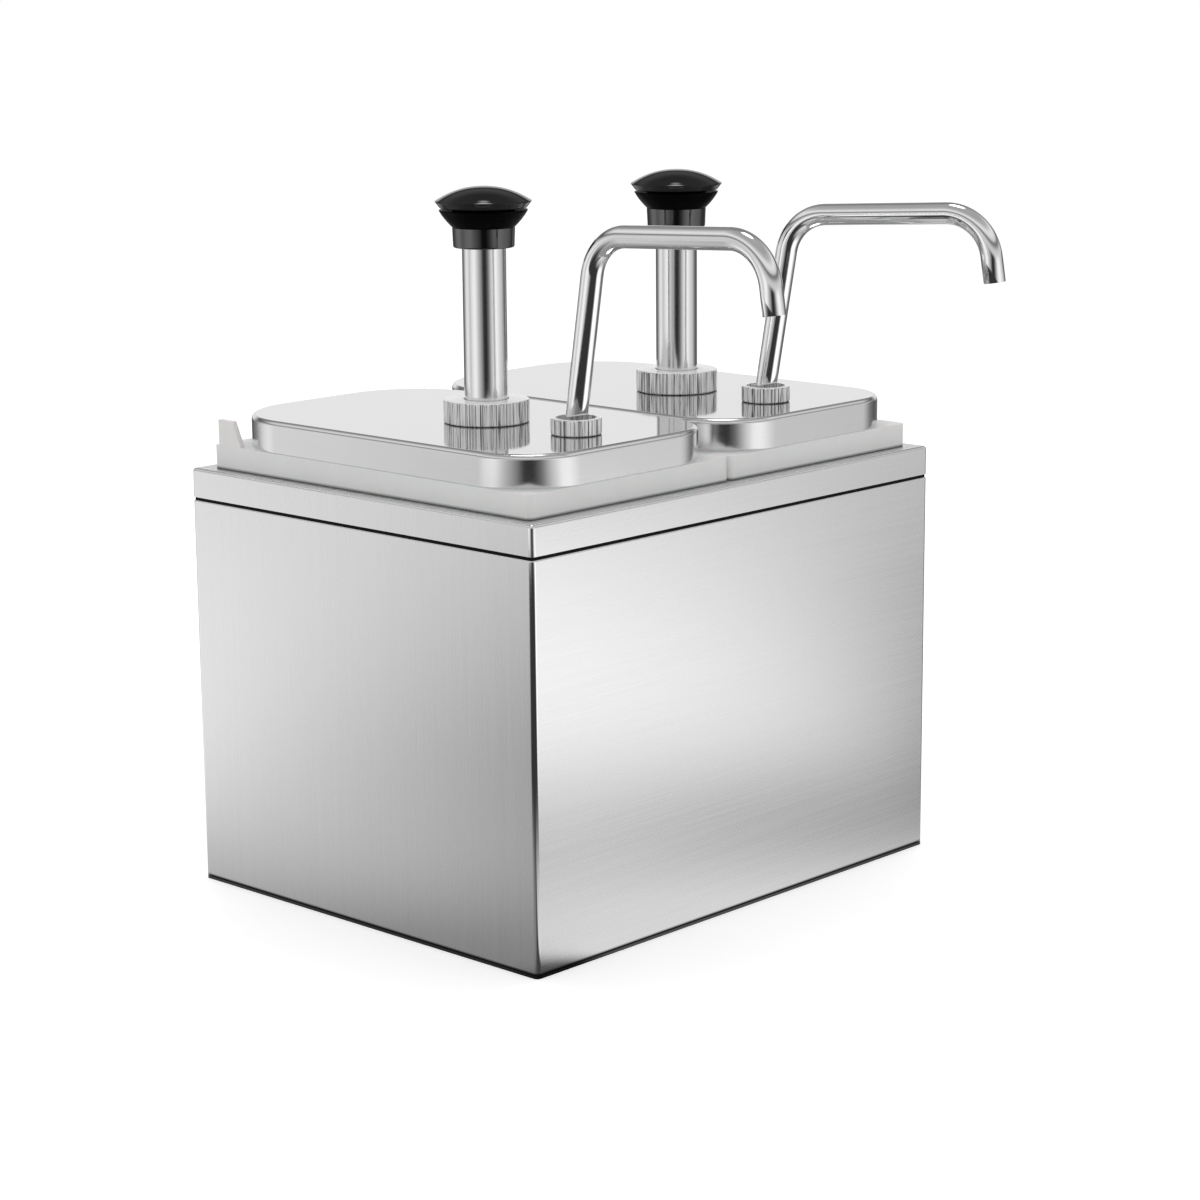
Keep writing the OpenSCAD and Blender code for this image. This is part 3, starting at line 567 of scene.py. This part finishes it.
def makeFrame():
    obj = roundedBox(frameLow, frameHigh, housing["foldRadius"], topRadius=housing["frameEdge"])
    openAt(obj, frameLow.z)
    useModifier(obj, "SOLIDIFY", thickness=housing["sheet"], offset=-1, use_even_offset=True)
    inset = housing["rimOverhang"] - housing["openingClear"]
    radius, segments = housing["openingRadius"], housing["openingSegments"]
    for shift in (0, stationShift.x):
        low = Vector((jarLow.x + inset + shift, jarLow.y + inset, frameLow.z - overrun))
        high = Vector((jarHigh.x - inset + shift, jarHigh.y - inset, frameHigh.z + overrun))
        cutWith(obj, roundedBox(low, high, radius, segments))
        # Lip turned down round the opening
        low.z, high.z = frameHigh.z - housing["lipDepth"], frameHigh.z - housing["lipTuck"]
        lip = roundedBox(low, high, radius, segments)
        openAt(lip, low.z)
        openAt(lip, high.z)
        useModifier(lip, "SOLIDIFY", thickness=housing["sheet"], offset=1)
        pickOnly(obj)
        lip.select_set(True)
        bpy.ops.object.join()
    finishPiece(obj, "topFrame", "housing", "housing", "housing_steel", ["top_frame"],
                weighted=True)


makeShell()
makeFrame()
for node, finish in (("base_tray", "housing"), ("seam_gasket", "rubber")):
    nodes[node].data.materials.clear()
    nodes[node].data.materials.append(finishes[finish])
print("housing made")


# Containers: tapered white tub with a hollow rim and a lifting ear
jar = {
    "rimHeight": 9.8 * mm, "wall": 2.4 * mm, "rimOverhang": 8 * mm, "rimCorner": 3 * mm,
    "bodyCorner": 14 * mm, "bodyBottom": 3 * mm, "cavityBottom": 2.4 * mm, "taper": 3 * mm,
    "edge": 0.7 * mm, "earLength": 14 * mm, "earThick": 2.3 * mm, "earBack": 3.6 * mm,
    "earSlant": 5 * mm, "earEdge": 0.2 * mm, "overlap": 0.2 * mm,
}


def makeJars():
    rimTop = lidLow.z
    rimBottom = rimTop - jar["rimHeight"]
    wall, over = jar["wall"], jar["rimOverhang"]
    bodyLow = Vector((jarLow.x + over, jarLow.y + over, jarLow.z))
    bodyHigh = Vector((jarHigh.x - over, jarHigh.y - over, rimTop - wall / 2))
    rim = roundedBox((jarLow.x, jarLow.y, rimBottom), (jarHigh.x, jarHigh.y, rimTop),
                     jar["rimCorner"], 6)
    groove = roundedBox((jarLow.x + wall, jarLow.y + wall, rimBottom - overrun),
                        (jarHigh.x - wall, jarHigh.y - wall, rimTop - wall), jar["rimCorner"], 4)
    cutWith(rim, groove)
    body = roundedBox(bodyLow, bodyHigh, jar["bodyCorner"], 10,
                      bottomRadius=jar["bodyBottom"], taper=jar["taper"])
    cutWith(rim, body, "UNION")
    cavity = roundedBox(bodyLow + Vector((wall, wall, wall)),
                        bodyHigh + Vector((-wall, -wall, overrun)), jar["bodyCorner"] - wall, 10,
                        bottomRadius=jar["cavityBottom"], taper=jar["taper"])
    cutWith(rim, cavity)
    cutWith(rim, makeEar(rimTop), "UNION")
    cleanMesh(rim, 10 * weld)
    useModifier(rim, "BEVEL", width=jar["edge"], segments=3, limit_method="ANGLE",
                angle_limit=math.radians(50))
    bothSides(rim, "Container", "container", "jar", "container_plastic", ["jar"], angle=40,
              weighted=True)


def makeEar(rimTop):
    backY = jarHigh.y - jar["earBack"]
    low = Vector((jarLow.x, backY - jar["earLength"], rimTop - jar["overlap"]))
    high = Vector((jarLow.x + jar["earThick"], backY, jarHigh.z))
    ear = roundedBox(low, high, jar["earEdge"], 1)
    openEdit(ear)
    # The front of the ear slants back towards its top
    selectParts(ear, "verts", lambda v: v.co.z > high.z - mm and v.co.y < low.y + mm)
    bpy.ops.transform.translate(value=(0, jar["earSlant"], 0))
    closeEdit()
    return ear


makeJars()
print("containers made")

# Lids: deep-drawn steel caps with a wide corner radius and a rolled edge
lid = {
    "corner": 28 * mm, "rearCorner": 37 * mm, "cornerSegments": 28, "edge": 2.2 * mm,
    "edgeSegments": 6, "sheet": 0.8 * mm, "pumpHole": 13.25 * mm, "spoutHole": 8.25 * mm,
    "drillReach": 5 * mm,
}


def drill(obj, axis, radius, low, high):
    deselectAll()
    bpy.ops.mesh.primitive_cylinder_add(vertices=64, radius=radius, depth=high - low,
                                        location=(axis.x, axis.y, (low + high) / 2))
    cutter = bpy.context.object
    settle(cutter)
    cutWith(obj, cutter)


def makeLids():
    obj = roundedBox(lidLow, lidHigh, lid["corner"], lid["cornerSegments"],
                     topRadius=lid["edge"], topSegments=lid["edgeSegments"],
                     rearRadius=lid["rearCorner"])
    openAt(obj, lidLow.z)
    useModifier(obj, "SOLIDIFY", thickness=lid["sheet"], offset=-1, use_even_offset=True)
    low, high = lidTop - lid["drillReach"], lidTop + lid["drillReach"]
    drill(obj, pumpAxis, lid["pumpHole"], low, high)
    drill(obj, spoutAxis, lid["spoutHole"], low, high)
    bothSides(obj, "Lid", "pump", "lid", "polished_steel", ["lid"], weighted=True)


makeLids()
print("lids made")

# Knurled nuts: grooves of uneven depth, width and place pressed into a turned blank
nut = {
    "chamfer": 0.7 * mm, "pumpGrooves": 64, "pumpBore": 13 * mm, "pumpWeb": 1.8 * mm,
    "pumpHole": 9.1 * mm, "spoutGrooves": 40, "spoutBore": 8 * mm, "vertsPerGroove": 4,
    # how far the grooves run into the chamfers, as a share of them
    "grooveStart": 0.9,
    # depth, and shift around the nut as a share of the pitch
    "grooves": ((0.35 * mm, 0.0), (0.5 * mm, 0.10), (0.6 * mm, -0.12), (0.55 * mm, 0.16),
                (0.45 * mm, -0.06)),
}


def knurledBlank(low, high, grooves):
    radius = (high.x - low.x) / 2
    centre = (low + high) / 2
    each = nut["vertsPerGroove"]
    count = each * grooves
    deselectAll()
    bpy.ops.mesh.primitive_cylinder_add(vertices=count, radius=radius, depth=high.z - low.z,
                                        location=centre)
    obj = bpy.context.object
    settle(obj)
    openEdit(obj, "EDGE")
    selectParts(obj, "edges", lambda e: not standsUp(e))
    bpy.ops.mesh.bevel(offset=nut["chamfer"], segments=2, affect="EDGES")
    step = 2 * math.pi / count
    members = [set() for _ in nut["grooves"]]
    for k in range(grooves):
        members[random.randrange(len(members))].add(each * k)
    margin = nut["chamfer"] * nut["grooveStart"]
    bottom, top = low.z + margin, high.z - margin

    def placeOf(vert):
        turn = math.atan2(vert.co.y - centre.y, vert.co.x - centre.x)
        return round((turn % (2 * math.pi)) / step) % count

    for (depth, shift), chosen in zip(nut["grooves"], members):
        if selectParts(obj, "verts", lambda v: bottom < v.co.z < top and placeOf(v) in chosen):
            share = 1 - depth / radius
            bpy.ops.transform.rotate(value=shift * each * step, orient_axis="Z",
                                     center_override=centre)
            bpy.ops.transform.resize(value=(share, share, 1), center_override=centre)
    closeEdit()
    return obj


def makeNuts():
    obj = knurledBlank(nutLow, nutHigh, nut["pumpGrooves"])
    drill(obj, pumpAxis, nut["pumpBore"], nutLow.z - mm, nutHigh.z - nut["pumpWeb"])
    drill(obj, pumpAxis, nut["pumpHole"], nutLow.z, nutHigh.z + mm)
    bothSides(obj, "PumpNut", "pump", "nut", "nut_steel", ["pump_nut"], angle=20)
    obj = knurledBlank(spoutNutLow, spoutNutHigh, nut["spoutGrooves"])
    drill(obj, spoutAxis, nut["spoutBore"], spoutNutLow.z - mm, spoutNutHigh.z + mm)
    bothSides(obj, "SpoutNut", "pump", "nut", "nut_steel", ["spout_nut"], angle=20)


makeNuts()
print("nuts made")

# Plunger: polished tube and a black knob of collar, cup and dome
plunger = {
    "radius": 8.7 * mm, "wall": 1.0 * mm, "collarRadius": 12.45 * mm, "collarHeight": 8 * mm,
    "collarDraft": 0.3 * mm, "cupHeight": 6.8 * mm, "cupTop": 17.6 * mm, "cupBulge": 0.3,
    "cupEdge": 0.3 * mm, "gap": 0.8 * mm, "domeRadius": 19.15 * mm, "underIn": 1.9 * mm,
    "rimHeight": 2.5 * mm, "rimRadius": 0.4 * mm, "domeHeight": 8.4 * mm, "domeRound": 2.2,
    "studRadius": 4 * mm, "softEdge": 0.15 * mm, "collarEdge": 0.6 * mm, "knobSteps": 128,
    "flareSteps": 16, "crownSteps": 28,
}


def makePlunger():
    r, wall, soft = plunger["radius"], plunger["wall"], plunger["softEdge"]
    low, high = tubeLow.z, tubeHigh.z
    centre = (pumpAxis.x, pumpAxis.y, 0)
    tube = turned([(r - wall, low), (r - soft, low), (r, low + soft), (r, high - soft),
                   (r - soft, high), (r - wall, high), (r - wall, low)], centre)
    bothSides(tube, "PlungerTube", "plunger", "tube", "tube_steel", ["plunger_tube"])

    foot = high - plunger["collarHeight"]
    outer = plunger["collarRadius"]
    footR = outer - plunger["collarDraft"]
    edge = plunger["collarEdge"]
    collar = turned([(r, foot)] + arcPoints((footR - edge, foot + edge), edge, -90, 0, 5)
                    + [(outer, high - soft), (outer - soft, high), (r, high), (r, foot)], centre)
    bothSides(collar, "KnobCollar", "plunger", "collar", "knob_black", ["knob_collar"])

    stud, top, height = plunger["studRadius"], plunger["cupTop"], plunger["cupHeight"]
    flare = []
    for k in range(plunger["flareSteps"] + 1):
        t = k / plunger["flareSteps"]
        swell = t + plunger["cupBulge"] * t * (1 - t)
        flare.append((outer + (top - outer) * swell, high + (height - plunger["cupEdge"]) * t))
    lip = high + height
    base = lip + plunger["gap"]
    cup = turned([(stud, high)] + flare
                 + [(top, lip - soft), (top - soft, lip), (outer, lip), (outer, base),
                    (stud, base), (stud, high)], centre, plunger["knobSteps"])
    bothSides(cup, "KnobCup", "plunger", "cup", "knob_black", ["knob_cup"])

    rim, crownR = plunger["rimRadius"], plunger["domeRadius"] - plunger["rimRadius"]
    rimZ = base + plunger["rimHeight"]
    crownZ, capTop = rimZ + rim, base + plunger["domeHeight"]
    edgeArc = arcPoints((crownR, rimZ), rim, -60, 62, 9)
    crown = []
    for k in range(1, plunger["crownSteps"] + 1):
        t = 1 - k / plunger["crownSteps"]
        crown.append((crownR * t, crownZ + (capTop - crownZ) * (1 - t ** plunger["domeRound"])))
    cap = turned([(0, base + rim), (stud, base + rim), (stud, base),
                  (plunger["domeRadius"] - plunger["underIn"], base)] + edgeArc + crown,
                 centre, plunger["knobSteps"])
    bothSides(cap, "KnobCap", "plunger", "dome", "knob_black", ["knob_cap"])


makePlunger()
print("plungers made")

# Spouts: one tube bent three times, drawn ring by ring along its axis
spout = {
    "radius": 4.4 * mm, "wall": 1.0 * mm, "lean": 9.1, "climb": 2.5, "splay": 8.4,
    "height": 77.4 * mm, "run": 84.55 * mm, "drop": 27.5 * mm, "neckAbove": 4 * mm,
    "footBend": 12 * mm, "riserBend": 18.3 * mm, "outletBend": 19 * mm,
    "sides": 40, "degreesPerRing": 2.5, "fewestRings": 4, "endEdge": 0.22 * mm,
    "turns": {"left": 0, "right": 15},
}


# Length that a bend takes from the straight on each side of its corner
def bendShare(bend, turn):
    return bend * math.tan(math.radians(turn / 2))


# Straight length, turn in degrees and bend radius of each leg, from the foot up
def spoutLegs():
    lean, splay = math.radians(spout["lean"]), math.radians(spout["splay"])
    riserTurn = 90 - spout["lean"] - spout["climb"]
    outletTurn = 90 + spout["climb"] - spout["splay"]
    footShare = bendShare(spout["footBend"], spout["lean"])
    riserShare = bendShare(spout["riserBend"], riserTurn)
    outletShare = bendShare(spout["outletBend"], outletTurn)
    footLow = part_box("left_spout")[0].z
    straightTop = lidTop + spout["neckAbove"]
    corner = straightTop + footShare
    riser = (lidTop + spout["height"] - corner) / math.cos(lean) - footShare - riserShare
    run = spout["run"] - riserShare - outletShare
    outlet = spout["drop"] / math.cos(splay) - outletShare
    return footLow, [
        (straightTop - footLow, spout["lean"], spout["footBend"]),
        (riser, riserTurn, spout["riserBend"]),
        (run, outletTurn, spout["outletBend"]),
        (outlet, 0, 0),
    ]


def makeSpouts():
    footLow, legs = spoutLegs()
    deselectAll()
    bpy.ops.mesh.primitive_circle_add(vertices=spout["sides"], radius=spout["radius"],
                                      location=(0, 0, 0))
    obj = bpy.context.object
    openEdit(obj)
    bpy.ops.mesh.select_all(action="SELECT")
    here, heading = Vector((0, 0, footLow)), 0.0
    bpy.ops.transform.translate(value=here)
    for straight, turn, bend in legs:
        a = math.radians(heading)
        step = Vector((0, -math.sin(a), math.cos(a))) * straight
        bpy.ops.mesh.extrude_region_move(TRANSFORM_OT_translate={"value": step})
        here = here + step
        if turn:
            centre = here + Vector((0, -math.cos(a), -math.sin(a))) * bend
            rings = max(spout["fewestRings"], round(turn / spout["degreesPerRing"]))
            bpy.ops.mesh.spin(steps=rings, angle=math.radians(-turn), center=centre,
                              axis=(1, 0, 0))
            here = centre + Matrix.Rotation(math.radians(turn), 3, "X") @ (here - centre)
            heading += turn
    bpy.ops.mesh.select_all(action="SELECT")
    bpy.ops.mesh.remove_doubles(threshold=weld)
    bpy.ops.mesh.normals_make_consistent(inside=False)
    closeEdit()
    useModifier(obj, "SOLIDIFY", thickness=spout["wall"], offset=-1)
    useModifier(obj, "BEVEL", width=spout["endEdge"], segments=2, limit_method="ANGLE",
                angle_limit=math.radians(60))
    twin = copyMoved(obj, (0, 0, 0))
    for side, piece, shift in (("left", obj, 0), ("right", twin, stationShift.x)):
        piece.rotation_euler.z = math.radians(spout["turns"][side])
        piece.location = (spoutAxis.x + shift, spoutAxis.y, 0)
        settle(piece)
        finishPiece(piece, f"{side}Spout", f"{side}_swan_neck", "spout", "spout_steel",
                    [f"{side}_spout"])


makeSpouts()
print("spouts made")

# Pieces below the lid keep their CAD form, as merged and smoothed copies:
# node, piece, body, finish, slot
innerPieces = (
    ("pump_cylinder", "PumpCylinder", "pump", "inner", "tube_steel"),
    ("valve_body", "ValveBody", "pump", "inner", "tube_steel"),
    ("inlet_seat", "InletSeat", "pump", "inner", "tube_steel"),
    ("riser_tube", "RiserTube", "pump", "spout", "tube_steel"),
    ("spout_fitting", "SpoutFitting", "pump", "inner", "nut_steel"),
    ("plunger_bush", "PlungerBush", "pump", "bush", "inner_plastic"),
    ("pump_gasket", "PumpGasket", "pump", "rubber", "seal_rubber"),
    ("spout_seal", "SpoutSeal", "pump", "rubber", "seal_rubber"),
    ("return_spring", "ReturnSpring", "pump", "inner", "ball_steel"),
    ("stop_ring", "StopRing", "plunger", "inner", "tube_steel"),
    ("piston", "Piston", "plunger", "bush", "inner_plastic"),
    ("piston_seal", "PistonSeal", "plunger", "rubber", "seal_rubber"),
    ("knob_stud", "KnobStud", "plunger", "inner", "ball_steel"),
    ("inlet_ball", "InletBall", "lower_ball", "inner", "ball_steel"),
    ("outlet_ball", "OutletBall", "upper_ball", "inner", "ball_steel"),
)


# How far the plunger shortens the spring, from the record's joint
def springStroke(side):
    joints = {joint["name"]: joint for joint in frame["record"]["behaviour"]["joints"]}
    return max(joints[f"{side}_plunger_press"]["range_m"])


def makeInnerPieces():
    for node, name, body, finish, slot in innerPieces:
        for side in sides:
            source = nodes[f"{side}_{node}"]
            obj = bpy.data.objects.new(name, source.data.copy())
            bpy.context.scene.collection.objects.link(obj)
            openEdit(obj)
            bpy.ops.mesh.select_all(action="SELECT")
            bpy.ops.mesh.remove_doubles(threshold=weld)
            closeEdit()
            finishPiece(obj, f"{side}{name}", f"{side}_{body}", finish, slot,
                        [f"{side}_{node}"], angle=30)
            if node == "return_spring":
                low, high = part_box(f"{side}_{node}")
                length = high.z - low.z
                stroke = springStroke(side)
                1 - stroke / length
                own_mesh(obj)


makeInnerPieces()
print("inner pieces made")

# Studio: pale floor, white surround and soft lamps. Only mirrors see the panels around the
# object: each stop is the angle from the viewer's direction, anticlockwise from above, and
# its brightness. Three rings of the floor have their own, and the far one is also the horizon
studio = {
    "floorSize": 12.0, "floorGrey": 0.86, "floorGlow": 0.42, "ambient": 0.72, "panelPeak": 1.9,
    "viewer": (-0.720, -0.694), "right": (0.694, -0.720),
    "panels": (
        (-180, 0.58), (-158, 0.55), (-138, 0.16), (-124, 0.20), (-112, 1.0), (-100, 1.12),
        (-93, 1.05), (-85, 0.82), (-76, 0.58), (-66, 0.36), (-46, 0.04), (34, 0.04),
        (42, 0.30), (50, 1.30), (68, 1.34), (78, 1.25), (84, 1.13), (91, 0.96), (97, 0.54),
        (103, 0.24), (112, 0.16), (138, 0.12), (158, 0.60), (180, 0.58)),
    "farPanels": (
        (-180, 0.10), (-150, 0.10), (-130, 0.30), (-113, 0.85), (-100, 1.0), (-82, 0.66),
        (-66, 1.0), (-50, 1.1), (-34, 0.65), (-18, 0.32), (-6, 0.03), (8, 0.03), (20, 0.2),
        (34, 0.70), (50, 1.10), (64, 1.10), (82, 0.82), (100, 0.65), (117, 0.22), (134, 0.10),
        (152, 0.20), (180, 0.10)),
    # near the object: place across the floor from left to right, as a share of the width
    "nearWidth": 0.6,
    # this brightness is painted: shade of the object's shadow towards the left, lit floor towards
    # the right
    "near": (
        (0.0, 0.72), (0.08, 0.70), (0.22, 0.55), (0.37, 0.30), (0.45, 0.24), (0.48, 0.06),
        (0.51, 0.06), (0.53, 0.84), (0.64, 0.82), (0.72, 0.66), (0.79, 0.48), (0.88, 0.30),
        (1.0, 0.26)),
    # metres from the middle between which one ring fades into the next
    "nearEdge": (0.15, 0.42), "farEdge": (0.88, 0.98),
    # sine of the height above the horizon, and the brightness there
    "heights": ((0.0, 0.75), (0.10, 0.75), (0.22, 0.62), (0.32, 0.28), (0.38, 0.20),
                (0.46, 0.70), (0.58, 0.90), (0.66, 0.80), (0.76, 0.55), (0.88, 0.42),
                (0.95, 0.42), (1.0, 0.45)),
    # brightness of the horizon behind the object, and the ceiling's share there
    "behind": 0.90, "ceilingBehind": 0.36,
    # cosines from the direction away from the viewer between which those set in
    "behindEdge": (0.72, 0.92), "awayEdge": (0.30, 0.70),
    # sines of the height between which the horizon fades into the ceiling
    "frontEdge": (0.02, 0.14), "backEdge": (0.26, 0.36),
    # overhead lamp that the domes mirror: direction, brightness, cosines of its soft edge
    "patches": (((0.199, 0.191, 0.961), 7.0, 0.982, 0.994),),
    "lamps": (
        # name, place, aim, width, height, power
        ("keyLamp", (0.10, 0.85, 1.75), (0, 0, 0.2), 0.9, 0.5, 5),
        ("topLamp", (0.85, 0.10, 1.75), (0, 0, 0.2), 0.9, 0.5, 5),
    ),
}


def softStep(value, edge):
    return value.finish.node("ShaderNodeMapRange", {"interpolation_type": "SMOOTHSTEP"}, {
        "Value": value, "From Min": edge[0], "From Max": edge[1]})


def ramp(finish, share, stops):
    stops = [(place, (level, level, level, 1)) for place, level in stops]
    return finish.node("ShaderNodeValToRGB", {"stops": stops}, {0: share})


# Place across the view, and the brightness of the middle and the far ring in this direction
def lightAround(finish, x, y):
    viewer, right = studio["viewer"], studio["right"]
    ahead = x * viewer[0] + y * viewer[1]
    across = x * right[0] + y * right[1]
    turn = finish.node("ShaderNodeMath", {"operation": "ARCTAN2"}, {0: across, 1: ahead})
    share = turn / (2 * math.pi) + 0.5
    peak = studio["panelPeak"]  # a ramp holds nothing brighter than 1
    rings = []
    for key in ("panels", "farPanels"):
        stops = [((angle + 180) / 360, level / peak) for angle, level in studio[key]]
        rings.append(ramp(finish, share, stops) * peak)
    return across, rings[0], rings[1]


def makeFloor():
    deselectAll()
    bpy.ops.mesh.primitive_plane_add(size=studio["floorSize"], location=(0, 0, 0))
    floor = bpy.context.object
    floor.name = "floor"
    finish = Finish("floorWhite")
    seen = finish.node("ShaderNodeLightPath", output="Is Camera Ray")
    mirrored = finish.node("ShaderNodeLightPath", output="Is Glossy Ray")
    x, y = finish.place(0), finish.place(1)
    across, panels, farPanels = lightAround(finish, x, y)
    reach = (x * x + y * y) ** 0.5
    # mirrors see painted shade of the object's shadow on the floor near it
    close = ramp(finish, across / studio["nearWidth"] + 0.5, studio["near"])
    middle = softStep(reach, studio["nearEdge"])
    far = softStep(reach, studio["farEdge"])
    glossy = (close * (1 - middle) + panels * middle) * (1 - far) + farPanels * far
    grey = studio["floorGrey"]
    matt = finish.node("ShaderNodeBsdfDiffuse", {}, {"Color": (grey, grey, grey, 1)})
    plain = finish.node("ShaderNodeEmission", {}, {
        "Color": (1, 1, 1, 1), "Strength": seen * studio["floorGlow"]})
    both = finish.node("ShaderNodeAddShader", {}, {0: matt, 1: plain})
    lit = finish.node("ShaderNodeEmission", {}, {"Color": (1, 1, 1, 1), "Strength": glossy})
    shader = finish.node("ShaderNodeMixShader", {}, {0: mirrored, 1: both, 2: lit})
    finish.node("ShaderNodeOutputMaterial", {}, {"Surface": shader})
    floor.data.materials.append(finish.material)


def makeWorld():
    world = bpy.data.worlds.new("studio")
    bpy.context.scene.world = world
    world.use_nodes = True
    finish = Finish("studio", world.node_tree)
    seen = finish.node("ShaderNodeLightPath", output="Is Camera Ray")
    mirrored = finish.node("ShaderNodeLightPath", output="Is Glossy Ray")
    way = finish.node("ShaderNodeTexCoord", output="Generated")
    x, y, z = (finish.axis(way, k) for k in range(3))
    farPanels = lightAround(finish, x, y)[2]
    distant = x * -studio["viewer"][0] + y * -studio["viewer"][1]
    behind = softStep(distant, studio["behindEdge"])
    away = softStep(distant, studio["awayEdge"])
    ceiling = ramp(finish, z.clamped(), studio["heights"])
    ceiling = ceiling * (1 - (1 - studio["ceilingBehind"]) * away)
    above = softStep(z, studio["frontEdge"])
    front = farPanels * (1 - above) + ceiling * above
    above = softStep(z, studio["backEdge"])
    back = studio["behind"] * (1 - above) + ceiling * above
    glossy = front * (1 - behind) + back * behind
    for (px, py, pz), level, *edge in studio["patches"]:
        glossy = glossy + level * softStep(x * px + y * py + z * pz, edge)
    other = 1 - seen - mirrored
    strength = seen + mirrored * glossy + other * studio["ambient"]
    light = finish.node("ShaderNodeBackground", {}, {"Color": (1, 1, 1, 1), "Strength": strength})
    finish.node("ShaderNodeOutputWorld", {}, {"Surface": light})


def makeLamps():
    for name, place, aim, width, height, power in studio["lamps"]:
        data = bpy.data.lights.new(name, "AREA")
        data.shape = "RECTANGLE"
        data.size = width
        data.size_y = height
        data.energy = power
        lamp = bpy.data.objects.new(name, data)
        lamp.visible_glossy = False  # mirrors show the soft panels instead
        bpy.context.scene.collection.objects.link(lamp)
        lamp.location = place
        lamp.rotation_euler = (Vector(aim) - Vector(place)).to_track_quat("-Z", "Y").to_euler()


makeFloor()
makeWorld()
makeLamps()
bpy.context.scene.view_settings.view_transform = "Standard"
print("studio made")
